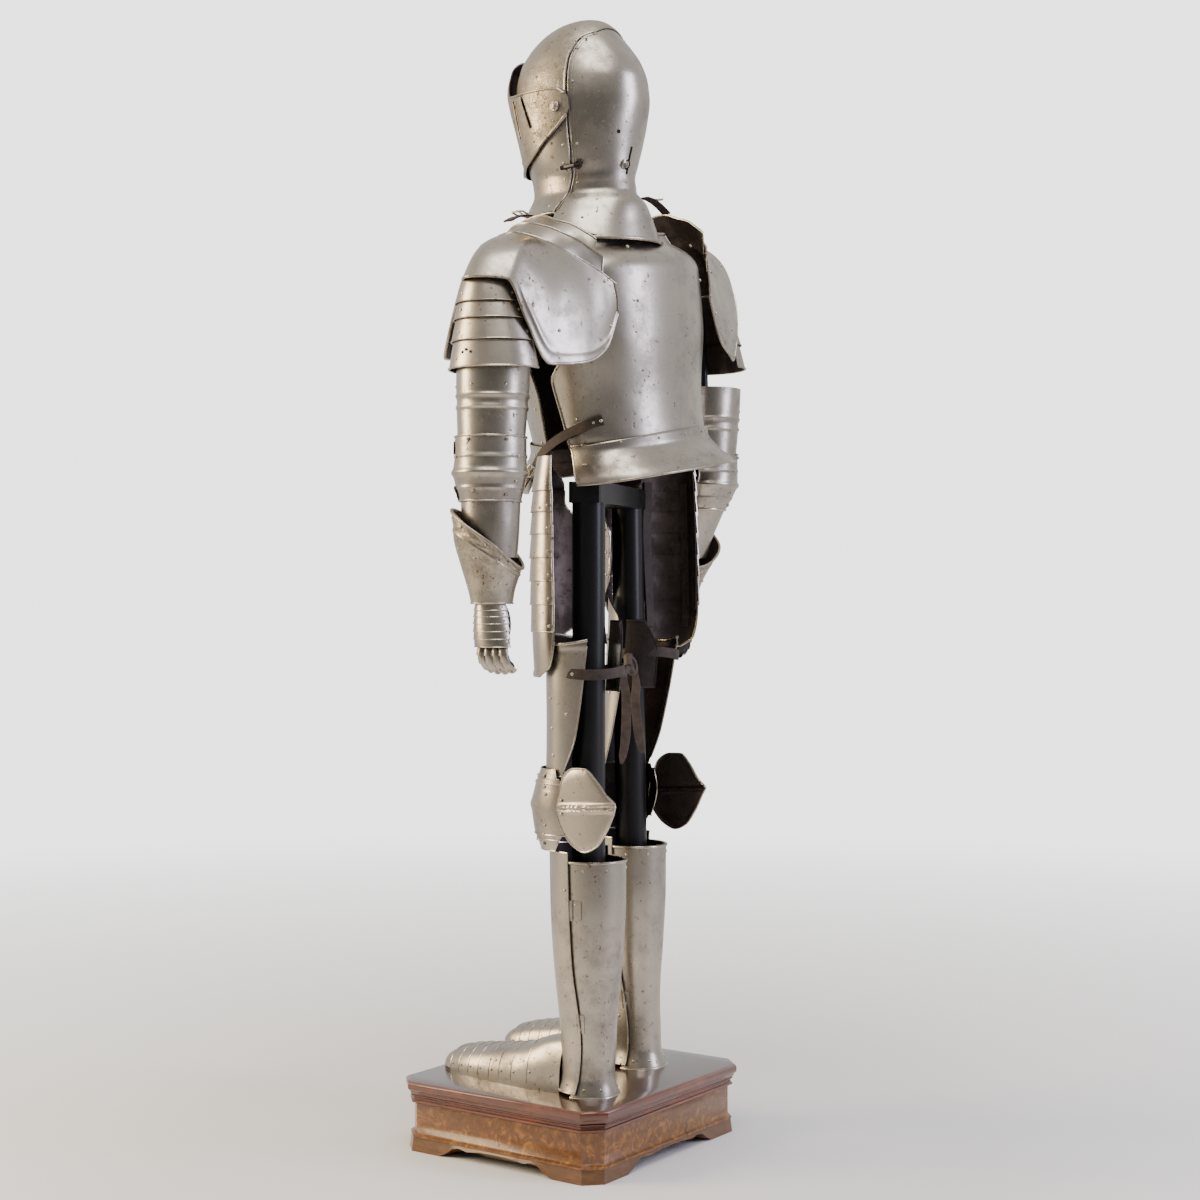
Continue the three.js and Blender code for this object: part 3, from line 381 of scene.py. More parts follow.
def roundedLine(corners, radius=3, steps=4):
    # the closed outline with its corners rounded
    corners = np.asarray(corners, float)
    line = []
    for before, here, after in zip(np.roll(corners, 1, 0), corners, np.roll(corners, -1, 0)):
        reach = min(radius, 0.45 * np.linalg.norm(before - here), 0.45 * np.linalg.norm(after - here))
        first = here + (before - here) / np.linalg.norm(before - here) * reach
        last = here + (after - here) / np.linalg.norm(after - here) * reach
        for t in np.linspace(0, 1, steps + 1):
            line.append(first * (1 - t) ** 2 + here * 2 * t * (1 - t) + last * t ** 2)
    return np.array(line)


# building the meshes

outerFace, innerFace, trimFace, extraFace, gapFace = range(5)
plateFaces = (outerFace, innerFace, trimFace)
lining = (extraFace,) * 3


class Work:
    # the points and faces of one piece
    def __init__(self):
        self.points, self.faces, self.marks, self.count = [], [], [], 0

    def put(self, points, faces, mark=outerFace):
        points = np.asarray(points, float).reshape(-1, 3)
        self.points.append(points)
        self.faces += [tuple(int(k) + self.count for k in face) for face in faces]
        self.marks += [mark] * len(faces) if isinstance(mark, int) else mark
        self.count += len(points)
        return self

    def sheet(self, grid, wall=steel, marks=plateFaces):
        # a wall behind a grid of points; a grid whose ends meet is closed up
        grid = np.asarray(grid, float)
        ring = np.allclose(grid[:, 0], grid[:, -1], atol=1e-3)
        across = np.gradient(grid, axis=1)
        if ring:
            across[:, 0] = across[:, -1] = grid[:, 1] - grid[:, -2]
        normal = unit(np.cross(across, np.gradient(grid, axis=0)))
        for k, near in ((0, 1), (-1, -2)):
            if np.allclose(grid[k], grid[k, 0], atol=1e-3):
                normal[k] = unit(normal[near].sum(0))
        n, m = grid.shape[:2]
        points = np.concatenate([grid.reshape(-1, 3), (grid - normal * wall).reshape(-1, 3)])
        at = lambda i, j, side=0: side * n * m + i * m + j
        faces, kinds = [], []
        for i in range(n - 1):
            for j in range(m - 1):
                faces.append((at(i, j), at(i, j + 1), at(i + 1, j + 1), at(i + 1, j)))
                faces.append((at(i + 1, j, 1), at(i + 1, j + 1, 1), at(i, j + 1, 1), at(i, j, 1)))
                kinds += [marks[0], marks[1]]
        for j in range(m - 1):
            faces.append((at(0, j, 1), at(0, j + 1, 1), at(0, j + 1), at(0, j)))
            faces.append((at(n - 1, j), at(n - 1, j + 1), at(n - 1, j + 1, 1), at(n - 1, j, 1)))
            kinds += [marks[2]] * 2
        if not ring:
            for i in range(n - 1):
                faces.append((at(i, 0), at(i + 1, 0), at(i + 1, 0, 1), at(i, 0, 1)))
                faces.append((at(i, m - 1, 1), at(i + 1, m - 1, 1), at(i + 1, m - 1), at(i, m - 1)))
                kinds += [marks[2]] * 2
        return self.put(points, faces, kinds)

    def plate(self, surface, edge, size=(24, 40), lift=(0, 0), slant=None, relief=None, wall=steel,
              marks=plateFaces):
        grid = plateGrid(surface, edge, size, lift, slant, relief)
        self.sheet(grid, wall, marks)
        return grid

    def hole(self, surface, z, angle, off, radius, rise, sides):
        # a dark disc that lies where a hole is: painted shade for the hole's inside
        return self.lathe([(radius, -0.6), (radius, rise), (0.02, rise)], standOff(surface, z, angle, off),
                          outward(surface, z, angle), sides, gapFace)

    def tube(self, line, radius, sides=8, closed=False, mark=trimFace, flat=1.0):
        line = np.asarray(line, float)
        keep = [0] + [k for k in range(1, len(line)) if np.linalg.norm(line[k] - line[k - 1]) > 1e-3]
        line = line[keep]
        ahead = unit(np.gradient(line, axis=0))
        if closed:
            ahead = unit(np.roll(line, -1, 0) - np.roll(line, 1, 0))
        side = np.cross(ahead[0], (0.0, 0.0, 1.0))
        if np.linalg.norm(side) < 0.2:
            side = np.cross(ahead[0], (1.0, 0.0, 0.0))
        radii = np.broadcast_to(np.asarray(radius, float), (len(line),))
        rings = []
        for point, way, wide in zip(line, ahead, radii):
            side = unit(side - way * (side @ way))
            up = np.cross(side, way)
            turn = np.linspace(0, 2 * math.pi, sides, endpoint=False)[:, None]
            rings.append(point + wide * (np.cos(turn) * side + np.sin(turn) * up * flat))
        n = len(rings)
        at = lambda i, k: (i % n) * sides + k % sides
        faces = [(at(i, k), at(i, k + 1), at(i + 1, k + 1), at(i + 1, k))
                 for i in range(n if closed else n - 1) for k in range(sides)]
        if not closed:
            faces += [tuple(range(sides - 1, -1, -1)), tuple(at(n - 1, k) for k in range(sides))]
        return self.put(np.concatenate(rings), faces, mark)

    def lathe(self, profile, at, axis, sides=14, mark=trimFace):
        # profile is (radius, distance along the axis), from the axis or a rim to the tip
        axis = unit(np.asarray(axis, float))
        side = unit(np.cross(axis, (0.31, 0.52, 0.79)))
        up = np.cross(axis, side)
        turn = np.linspace(0, 2 * math.pi, sides, endpoint=False)[:, None]
        rings = [np.asarray(at) + axis * along + r * (np.cos(turn) * side + np.sin(turn) * up)
                 for r, along in profile]
        n = len(rings)
        spot = lambda i, k: i * sides + k % sides
        faces = [(spot(i, k), spot(i, k + 1), spot(i + 1, k + 1), spot(i + 1, k))
                 for i in range(n - 1) for k in range(sides)]
        faces += [tuple(range(sides - 1, -1, -1)), tuple(spot(n - 1, k) for k in range(sides))]
        return self.put(np.concatenate(rings), faces, mark)

    def rivet(self, at, out, radius=3.0, rise=0.62, sides=12):
        # a domed head that stands on the plate
        dome = [(radius * math.cos(a), radius * rise * math.sin(a) + 0.05) for a in np.radians([0, 24, 48, 70])]
        return self.lathe([(radius * 1.02, -1.0), *dome, (0.02, radius * rise + 0.05)], at, out, sides)

    def rivets(self, surface, places, off=0, radius=3.0):
        for z, angle in places:
            self.rivet(standOff(surface, z, angle, off), outward(surface, z, angle), radius)
        return self

    def block(self, outline, low, high, mark=outerFace):
        # an outline in (x, y), from low to high along z
        n = len(outline)
        points = [(x, y, z) for z in (low, high) for x, y in outline]
        faces = [(k, (k + 1) % n, (k + 1) % n + n, k + n) for k in range(n)]
        faces += [tuple(range(n - 1, -1, -1)), tuple(range(n, 2 * n))]
        return self.put(points, faces, mark)

    def strap(self, points, facing, width, thick=hide, count=40, mark=extraFace, taper=None):
        # a flat leather along a line, with the way that its face looks
        line = smoothLine(points, count)
        out = unit(smoothLine(np.asarray(facing, float), count))
        across = unit(np.cross(out, np.gradient(line, axis=0)))
        wide = np.full(count, float(width)) if taper is None else width * np.interp(
            np.linspace(0, 1, count), *zip(*taper))
        cross = [(-0.5, -0.25), (-0.46, 0.0), (0, 0.06), (0.46, 0.0), (0.5, -0.25)]
        grid = np.stack([line + across * (wide * s)[:, None] + out * thick * h for s, h in cross])
        return self.sheet(grid, thick, (mark,) * 3)

    def moved(self, change):
        # the same work with every point changed
        made = Work()
        made.points = [change(np.concatenate(self.points))]
        made.faces, made.marks, made.count = list(self.faces), list(self.marks), self.count
        return made

    def mirrored(self, shift=None):
        def change(p):
            delta = shift(p[:, 2], p[:, 1], p[:, 0]) if shift else 0
            return p * (-1, 1, 1) + delta
        made = self.moved(change)
        made.faces = [face[::-1] for face in self.faces]
        return made


def steady(x, y, z):
    return lambda height, back, side: np.array([x, y, z], float)


def leaning(group):
    # the suit's body and the helmet lean over to the wearer's left
    a = math.radians(group["lean"])
    turn = np.array([[math.cos(a), 0, math.sin(a)], [0, 1, 0], [-math.sin(a), 0, math.cos(a)]])
    centre = np.array([group["x"], group["y"], group["z"]], float)
    return lambda p: p @ turn.T + centre


upright = lambda p: p
inBody = leaning(waist)
inHelmet = leaning(head)
# plateSkins and etchedSkins paint the plates' insides dark, and legSkins paints them darker still: painted
# shade
plateSkins = (brightSteel, shadedInnerSteel, edgeSteel, darkLeather, shadeAndBlack)
legSkins = (brightSteel, shadeAndDarkInner, edgeSteel, darkLeather, shadeAndBlack)
etchedSkins = (etchedSteel, shadedInnerSteel, edgeSteel, darkLeather, shadeAndBlack)
# the thighs' inner panels: near-black outside and trim, plain bright steel inside
innerSkins = (shadeAndDarkInner, brightSteel, shadeAndDarkInner, darkLeather, shadeAndBlack)


def toObject(name, work, group=upright, skins=plateSkins):
    points = (group(np.concatenate(work.points)) + footprint) * mm
    mesh = bpy.data.meshes.new(name)
    mesh.from_pydata(points.tolist(), [], work.faces)
    for skin in skins:
        mesh.materials.append(skin)
    mesh.polygons.foreach_set("material_index", work.marks)
    made = bpy.data.objects.new(name, mesh)
    bpy.context.scene.collection.objects.link(made)
    return made


def tidyMesh(made, angle=38):
    bpy.context.view_layer.objects.active = made
    for other in bpy.context.selected_objects:
        other.select_set(False)
    made.select_set(True)
    bpy.ops.object.mode_set(mode="EDIT")
    bpy.ops.mesh.select_all(action="SELECT")
    bpy.ops.mesh.remove_doubles(threshold=1e-5)
    bpy.ops.mesh.normals_make_consistent(inside=False)
    bpy.ops.object.mode_set(mode="OBJECT")
    made.data.polygons.foreach_set("use_smooth", [True] * len(made.data.polygons))
    made.data.set_sharp_from_angle(angle=math.radians(angle))


def show(name, work, nodes=(), group=upright, skins=plateSkins, body="suit", cuts=(),
         extra=None):
    # makes the piece, cuts it, and sets it in the frame in place of its CAD nodes
    made = toObject(name, work, group, skins)
    if cuts:
        tidyMesh(made)
    for operation, tool in cuts:
        cutter = toObject("cutter", tool, group, skins)
        change = made.modifiers.new("cut", "BOOLEAN")
        change.operation, change.object, change.solver = operation, cutter, "EXACT"
        bpy.context.view_layer.update()
        cutMesh = bpy.data.meshes.new_from_object(made.evaluated_get(bpy.context.evaluated_depsgraph_get()))
        made.modifiers.clear()
        made.data = cutMesh
        bpy.data.objects.remove(cutter)
    if extra:
        trim = toObject("trim", extra, group, skins)
        both = bmesh.new()
        both.from_mesh(made.data)
        both.from_mesh(trim.data)
        both.to_mesh(made.data)
        both.free()
        bpy.data.objects.remove(trim)
    tidyMesh(made)
    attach(made, body)
    if nodes:
        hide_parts(*nodes)


def showPair(name, work, node, shift, group=upright, skins=plateSkins):
    show(name + "Left", work, [node + "_left"] if node else [], group, skins)
    show(name + "Right", work.mirrored(shift), [node + "_right"] if node else [], group, skins)


# the plinth

plinthLook = {
    "wall": 18, "steps": 24, "feetTop": 24.0,
    # the arches between the feet: how high, and where along half a side a foot starts
    "arch": 20, "footShare": 0.31, "bend": 0.72,
    # profiles from the foot up: inset and height
    "body": [(10, 22), (8.5, 23.5), (8.5, 27), (11.5, 29), (13, 31), (13, 78), (11.5, 80)],
    "cove": [(11.5, 80), (7, 82), (7, 85.5), (9, 87), (9.5, 90), (6.5, 93), (6.5, 94.3)],
    "top": [(9, 95), (5.5, 95.4), (4, 98), (3.2, 101), (1.2, 103), (0, 105.5), (0, 112), (0.8, 114.6),
            (2.6, 116.4), (5, 117)],
}


def plinthOutline(inset, corner=None):
    w, d = plinth["width"] / 2 - inset, plinth["depth"] / 2 - inset
    c = plinth["corner"] if corner is None else corner
    return [(-w + c, -d), (w - c, -d), (w, -d + c), (w, d - c), (w - c, d), (-w + c, d), (-w, d - c),
            (-w, -d + c)]


def mouldedRing(work, profile, mark=outerFace, corner=None):
    # a closed moulding
    grid = []
    for inset, z in profile:
        ring = [(x, y, z) for x, y in plinthOutline(inset, corner)]
        grid.append(ring + ring[:1])
    n, m = len(grid), len(grid[0])
    faces = [(i * m + j, i * m + j + 1, (i + 1) * m + j + 1, (i + 1) * m + j)
             for i in range(n - 1) for j in range(m - 1)]
    return work.put(np.array(grid), faces, mark)


def plinthBase():
    work = Work()
    arch, bend, top = plinthLook["arch"], plinthLook["bend"], plinthLook["feetTop"]
    line = plinthOutline(plinth["inset"] - 3, plinth["corner"] - 6)
    ring, foot = [], []
    for k, ((x0, y0), (x1, y1)) in enumerate(zip(line, line[1:] + line[:1])):
        for t in np.linspace(0, 1, plinthLook["steps"], endpoint=False):
            ring.append((x0 + (x1 - x0) * t, y0 + (y1 - y0) * t))
            reach = abs(2 * t - 1) / (2 * plinthLook["footShare"])  # 0 in the middle of a side
            lift = 1 - np.clip((reach - bend) / (1 - bend), 0, 1) ** 1.6 if k % 2 == 0 else 0
            if k % 2 == 0 and reach < bend:
                lift = 1 - 0.22 * math.exp(-((reach - 0.5) / 0.12) ** 2)
            foot.append(arch * lift)
    ring, foot = np.array(ring + ring[:1]), np.array(foot + foot[:1])
    grid = np.stack([np.column_stack([ring * (1.0 + 0.012 * s), foot + (top - foot) * (1 - s)])
                     for s in (1.0, 0.86, 0.5, 0.0)])
    work.sheet(grid, plinthLook["wall"], (trimFace, innerFace, trimFace))
    mouldedRing(work, plinthLook["body"], outerFace, plinth["corner"] - 5)
    mouldedRing(work, plinthLook["cove"], extraFace, plinth["corner"] - 4)
    return work.block(plinthOutline(14, plinth["corner"] - 5), 22, 94, innerFace)


def plinthTop():
    work = mouldedRing(Work(), plinthLook["top"], extraFace)
    (low, under), (high, over) = plinthLook["top"][0], plinthLook["top"][-1]
    work.put([(x, y, over) for x, y in plinthOutline(high)], [tuple(range(8))], outerFace)
    return work.put([(x, y, under) for x, y in plinthOutline(low)], [tuple(range(7, -1, -1))], outerFace)


# the base's inside and underside are near-black: painted shade
show("plinthBase", plinthBase(), ["plinth_base"], skins=(burlWood, shadeAndBlack, footWood, mouldWood))
show("plinthTop", plinthTop(), ["plinth_top"], skins=(topWood, topWood, topWood, mouldWood))
print("plinth ready")


# the legs, shaped for the left and mirrored to the right

stride = rows("z x y", (100, 10, -46), (300, 8, -60), (480, 6, -62), (590, 4, -56), (660, 4, -50),
              (850, 2, -36), (900, 2, -34))


def rightLeg(z, y, x):
    return np.stack([column(stride, "x", z), column(stride, "y", z), 0 * z], -1)


shinForm = levels(
    (117, 112, 112, 47, 44, 50, 2.1, 0), (150, 112, 114, 39, 42, 41, 2.1, 0),
    (210, 111, 116, 40, 46, 42, 2.1, 2),
    (330, 111, 113, 50, 55, 54, 2.1, 4), (430, 110, 112, 55, 61, 61, 2.1, 4),
    (500, 110, 111, 55, 62, 62, 2.1, 4))
shin = {
    "front": edges((123, -98, 98), (184, -102, 102), (330, -92, 92), (486, -89, 89)),
    "back": edges((117, 86, 274), (184, 98, 262), (330, 88, 272), (496, 85, 275)),
    "frontLift": (5, 3.2), "hinges": (236, 420), "hingeLeaf": 9, "kneeRise": 32,
    "frontRivets": [(z, a) for a in (84, -84) for z in (206, 452)],
    "backRivets": [(z, a) for z in (484, 130) for a in (112, 150, 210, 248)],
}


def kneeRise(angle, t):
    return shin["kneeRise"] * t ** 2 * (0.8 + 0.2 * np.cos(np.radians(angle)) ** 2)


def greaveFront():
    work = Work()
    grid = work.plate(shinForm, shin["front"], (60, 44), shin["frontLift"], kneeRise)
    work.tube(grid[-1], 2.0).tube(grid[0], 1.8)
    for k in (0, -1):
        work.tube(grid[2:-2, k], 1.1, 6)
    return work.rivets(shinForm, shin["frontRivets"], 4.6, 2.4)


def greaveBack():
    work = Work()
    leaf = shin["hingeLeaf"]
    grid = work.plate(shinForm, shin["back"], (70, 50))
    work.tube(grid[-1], 2.6, 10).tube(grid[0], 2.2)
    for z in shin["hinges"]:
        for angle in (100, 260):
            work.plate(shinForm, edges((z - 15, angle - leaf, angle + leaf),
                                       (z + 15, angle - leaf, angle + leaf)),
                       (6, 6), (1.8, 1.8), wall=1.2)
            work.rivets(shinForm, [(z - 9, angle), (z + 9, angle)], 1.6, 2.2)
        for angle in (94, 266):
            work.tube(standOff(shinForm, np.linspace(z - 16, z + 16, 4), angle, 3.0), 2.4, 8)
    return work.rivets(shinForm, shin["backRivets"], 0, 2.4)


showPair("greaveFront", greaveFront(), "greave_front", rightLeg, skins=legSkins)
showPair("greaveBack", greaveBack(), "greave_back", rightLeg, skins=legSkins)

kneeForm = levels(
    (508, 112, 86, 58, 52, 60, 2, 4), (548, 112, 84, 63, 62, 60, 2, 6), (585, 112, 83, 65, 66, 60, 2, 8),
    (615, 112, 84, 63, 60, 60, 2, 6), (650, 112, 88, 60, 54, 60, 2, 4))


knee = {
    "cup": edges((540, -84, 112), (585, -96, 128), (622, -84, 112)),
    "ridge": lambda z, a: 2.2 * np.exp(-(((z - 585) / 6) ** 2)) * (np.abs(a) < 60),
    # each lame's foot and top, how far they stand out, and the edge that is rolled
    "lames": (((514, -70, 92), (540, -82, 108), (0.6, 2.6), 0),
              ((532, -78, 100), (552, -88, 112), (2.6, 3.8), 0),
              ((609, -88, 112), (630, -80, 102), (3.8, 2.6), -1),
              ((624, -80, 100), (645, -72, 92), (2.6, 1.0), -1)),
    "studs": ((525, 70), (525, -62), (541, 76), (541, -70), (556, 80), (556, -78), (605, 82), (605, -80),
              (617, 78), (617, -74), (634, 72), (634, -64)),
    "smallStuds": ((529, 40), (529, -34), (634, 40), (634, -34)),
}


def poleyn():
    work = Work()
    cup = work.plate(kneeForm, knee["cup"], (22, 52), (3.6, 3.6), relief=knee["ridge"])
    for k in (0, -1):
        work.tube(cup[k], 1.5)
    for low, high, lift, rolled in knee["lames"]:
        lame = work.plate(kneeForm, edges(low, high), (5, 36), lift, wall=1.2)
        work.tube(lame[rolled], 0.9, 6)
    work.rivets(kneeForm, knee["studs"], 4.0, 2.9)
    return work.rivets(kneeForm, knee["smallStuds"], 3.4, 2.0)


showPair("poleyn", poleyn(), "poleyn", rightLeg, skins=legSkins)

fan = {
    "rim": rows("t from to", (0, -12, 10), (0.06, -28, 30), (0.12, -40, 50), (0.3, -62, 61), (0.5, -72, 60),
                (0.68, -65, 42), (0.85, -40, 17), (1, -2, 2)),
    "rib": 5.0, "dish": 8.0, "hub": (96, 586), "rivets": ((576, 108), (598, 108)),
}


def kneeFan():
    # the heart-shaped guard at the knee's outer side, with a raised rib that runs to its point
    t = np.linspace(0, 1, 49)[:, None]
    u = np.linspace(0, 1, 49)[None, :]
    low, high = column(fan["rim"], "from", t, "t"), column(fan["rim"], "to", t, "t")
    rise = low + (high - low) * u
    rib = fan["rib"] * np.maximum(np.exp(-((rise / 3.2) ** 2)), 0.6 * np.exp(-(((rise + 7) / 2.2) ** 2)))
    rib = rib * np.clip(t * 9, 0, 1)
    edge = np.minimum(u, 1 - u) * (high - low)
    bulge = fan["dish"] * np.sin(np.pi * t) * 0.6 - 2.5 * np.exp(-edge / 5)
    grid = np.stack(np.broadcast_arrays(180 + bulge + rib, fan["hub"][0] + 116 * t,
                                        fan["hub"][1] + rise + 8 * t), -1)
    work = Work().sheet(grid.transpose(1, 0, 2))
    rim = np.concatenate([grid[:, 0], grid[::-1, -1]])
    work.tube(rim[::2] + (0.2, 0, 0), 1.6, 8, closed=True)
    for z, y in fan["rivets"]:
        work.rivet((183, y, z), (1, 0, 0), 3.0)
    return work


showPair("kneeFan", kneeFan(), "knee_fan", rightLeg)

thighForm = levels(
    (620, 112, 90, 56, 50, 58, 2, 0), (700, 113, 93, 58, 50, 62, 2, 0),
    (800, 114, 97, 62, 53, 66, 2, 0), (900, 114, 100, 66, 55, 70, 2, 0))
cuisse = {
    "edge": edges((634, -78, 98), (700, -90, 118), (800, -96, 128), (862, -60, 132)),
    "lining": edges((640, 60, 96), (700, 60, 114), (800, 60, 124), (850, 60, 126)),
    "rivets": ((668, 78), (712, 74), (760, 70), (800, 112), (735, 104), (668, -62), (760, -72), (826, -48),
               (826, 60)),
    "inner": edges((770, -152, -99), (830, -150, -100), (884, -128, -101)),
    "innerRivets": ((784, -108), (850, -108), (800, -140)),
    # the far wall stands higher, and its bright inside shows over the near edge
    "far": edges((846, -96, -34), (890, -86, -36), (926, -50, -40)),
}


def cuisseSlope(a, t):
    return -14 * t * np.sin(np.radians(a)) ** 2


def cuissePlate():
    work = Work()
    grid = work.plate(thighForm, cuisse["edge"], (50, 46), slant=cuisseSlope,
                      relief=lambda z, a: 1.8 * np.exp(-(((z - 846) / 5) ** 2)))
    work.tube(grid[-1], 2.8, 10).tube(grid[0], 1.6)
    for k in (0, -1):
        work.tube(grid[2:-2, k], 1.3, 6)
    work.rivets(thighForm, cuisse["rivets"], 0, 3.0)
    for drift in (-2.6, 2.6):  # the slots where the leather is laced to the plate
        for angle in (92, 95, 98):
            at = standOff(thighForm, 808 + drift, angle, -0.6)
            work.rivet(at, outward(thighForm, 808, angle), 1.2, 0.3, 8)
    work.plate(thighForm, cuisse["lining"], (20, 16), (-2.2, -2.2), cuisseSlope, wall=1.4, marks=lining)
    return work


def innerCuisse():
    work = Work()
    grid = work.plate(thighForm, cuisse["inner"], (24, 20))
    work.tube(grid[-1], 2.0).tube(grid[0], 1.4, 6).tube(grid[:, 0], 1.3, 6)
    work.rivets(thighForm, cuisse["innerRivets"], 0, 2.0)
    far = work.plate(thighForm, cuisse["far"], (20, 16), (-0.6, -0.6), wall=1.4,
                     marks=(innerFace, innerFace, trimFace))
    return work.tube(far[:, 0], 1.3, 6).tube(far[-1], 1.3, 6)


showPair("cuisse", cuissePlate(), "cuisse", rightLeg, skins=legSkins)
showPair("cuisseInner", innerCuisse(), "cuisse_inner", rightLeg, skins=innerSkins)
print("legs ready")


# the shoes

footTable = rows(
    "y x w h",
    (-201, 78, 20, 14), (-192, 79, 32, 24), (-165, 83, 43, 36), (-120, 90, 49, 46), (-60, 98, 50, 55),
    (0, 105, 48, 68), (40, 109, 44, 84), (80, 111, 40, 92))
sabaton = {"toe": -201, "lames": (-166, -142, -118, -94, -68, -45, -18, 16, 80), "lap": 9, "rivet": 2.3,
           "rivetAngle": 74, "sole": (-195, 55, 10)}


def footPoints(y, angle, off=0):
    side, up = np.sin(np.radians(angle)), np.cos(np.radians(angle))
    return np.stack(np.broadcast_arrays(
        column(footTable, "x", y, "y") + (column(footTable, "w", y, "y") + off) * signedPower(side, 0.8),
        y, deck + (column(footTable, "h", y, "y") + off) * signedPower(up, 0.8)), -1)


def sabatonShoe():
    work = Work()
    angle = np.linspace(-90, 90, 41)[None, :]
    stops, lap = sabaton["lames"], sabaton["lap"]
    cap = footPoints(np.linspace(sabaton["toe"], stops[0] + lap, 14)[:, None], angle, -0.4)
    work.sheet(cap, 1.4)
    work.tube(cap[-1, 1:-1], 0.8, 6)
    nose = footPoints(np.full((1, 1), float(sabaton["toe"])), angle, -0.4)[0]
    work.put(nose, [tuple(range(len(nose)))], outerFace)
    for k, (low, high) in enumerate(zip(stops[:-1], stops[1:])):
        reach = high + (lap if k < len(stops) - 2 else 0)
        lame = footPoints(np.linspace(low, reach, 6)[:, None], angle, np.linspace(1.7, -0.2, 6)[:, None])
        work.sheet(lame, 1.3)
        work.tube(lame[0, 1:-1], 0.95, 6)
        for side in (1, -1):
            at = footPoints(np.array(low + 6.0), np.array(float(side * sabaton["rivetAngle"])), 1.6)
            work.rivet(at, (side, 0, 0.25), sabaton["rivet"])
    start, stop, step = sabaton["sole"]
    there, back = range(start, stop + 1, step), range(stop, start - 1, -step)
    sole = [footPoints(np.array(y), np.array(a)) for a, line in ((90, there), (-90, back)) for y in line]
    return work.block([(x, y) for x, y, _ in sole], deck + 0.6, deck + 3.6, extraFace)


def rightFoot(z, y, x):
    return np.stack([-10 + 0.12 * y, -44 - 0.13 * y, 0 * z], -1)


showPair("sabaton", sabatonShoe(), "sabaton", rightFoot)
print("feet ready")


# the body

trunkForm = levels(
    (30, 0, 0, 166, 150, 112, 2.1, 3), (120, 0, -4, 172, 158, 116, 2.15, 5),
    (230, 0, -6, 186, 152, 127, 2.2, 6),
    (330, 0, -4, 182, 128, 122, 2.3, 4), (396, 0, 0, 154, 94, 92, 2.3, 0), (430, 0, 2, 128, 56, 54, 2.3, 0))
back = {
    "edge": edges((30, 91, 269), (100, 88, 272), (150, 86, 274), (190, 96, 264), (260, 122, 238),
                  (350, 126, 234), (402, 128, 232)),
    "rivets": ((88, 100), (88, 260), (180, 106), (180, 254), (44, 100), (44, 260), (300, 138), (300, 222),
               (358, 150), (358, 210)),
    "size": (80, 84), "dip": (-4, 4), "rim": 3.0, "side": 2.4,
}
breast = {
    "edge": edges((30, -71, 71), (120, -72, 72), (190, -66, 66), (280, -50, 50), (360, -46, 46),
                  (408, -50, 50)),
    "rivets": ((52, 66), (52, -66), (108, 66), (108, -66), (176, 60), (176, -60), (330, 40), (330, -40)),
    "size": (80, 72), "dip": (-34, 6), "rim": 3.6, "side": 3.0,
}


def dents(z, a):
    # the slight hollows and swellings that hammer and years have left
    a = np.radians(a)
    return (0.5 * np.sin(z / 61 + 2 * a) * np.cos(2 * a + 0.7) + 0.16 * np.sin(z / 27 - 5 * a)
            + 0.07 * np.sin(z / 9 + 9 * a))


def backRelief(z, a):
    # a swelling over the waist, and the top drawn in under the helmet's collar
    return (dents(z, a) - 1.2 + 1.5 * np.exp(-(((z - 56) / 13) ** 2))
            - 30 * np.clip((z - 318) / 60, 0, 1) ** 1.5)


def breastRelief(z, a):
    return dents(z, a) * 0.7 - 1.0 + 3.0 * np.exp(-((a / 3.5) ** 2))


def bodyPlate(look, relief):
    # the top edge dips in the middle, under the neck
    work = Work()
    depth, power = look["dip"]
    dip = lambda a, t: depth * np.maximum(0, t - 0.6) / 0.4 * np.abs(np.cos(np.radians(a))) ** power
    grid = work.plate(trunkForm, look["edge"], look["size"], slant=dip, relief=relief)
    work.tube(grid[-1], look["rim"], 10)
    for k in (0, -1):
        work.tube(grid[2:, k], look["side"], 10)
    return work.rivets(trunkForm, look["rivets"], -0.3, 2.7)


show("backPlate", bodyPlate(back, backRelief), ["backplate"], group=inBody)
show("breastPlate", bodyPlate(breast, breastRelief), ["breastplate"], group=inBody)

skirtForm = levels(
    (-40, 0, 0, 206, 186, 186, 2.1, 0), (-8, 0, 0, 196, 176, 166, 2.1, 0), (16, 0, 0, 180, 164, 136, 2.1, 3),
    (40, 0, 0, 170, 154, 115, 2.1, 3), (60, 0, 0, 169, 154, 114.5, 2.1, 3))
skirt = {
    "flange": edges((-8, 99, 263), (54, 92, 268)), "flangeLift": (lapGap, steel + lapGap + 1),
    "smallRivets": [(46, a) for a in (102, 130, 158, 180, 202, 230, 258)], "rivets": ((14, 103), (14, 258)),
    # each lame of the fauld: its foot, its top, and how far they stand out
    "fauld": ((-20, 6, (1.6, 0.2)), (0, 30, (1.1, 0.2)), (24, 54, (0.6, 3.4))),
}


def beltDip(a, t=0):
    return -9 * np.sin(np.radians(a)) ** 2


def waistFlange():
    work = Work()
    grid = work.plate(skirtForm, skirt["flange"], (26, 70), skirt["flangeLift"], beltDip,
                      lambda z, a: 0.8 * np.sin(np.radians(a) * 6 + z / 20))
    work.tube(grid[0], 2.3, 10).tube(grid[-1], 1.3, 6)
    for k in (0, -1):
        work.tube(grid[1:-1, k], 1.4, 6)
    work.rivets(skirtForm, skirt["smallRivets"], 3.0, 2.4)
    return work.rivets(skirtForm, skirt["rivets"], 2.0, 3.0)


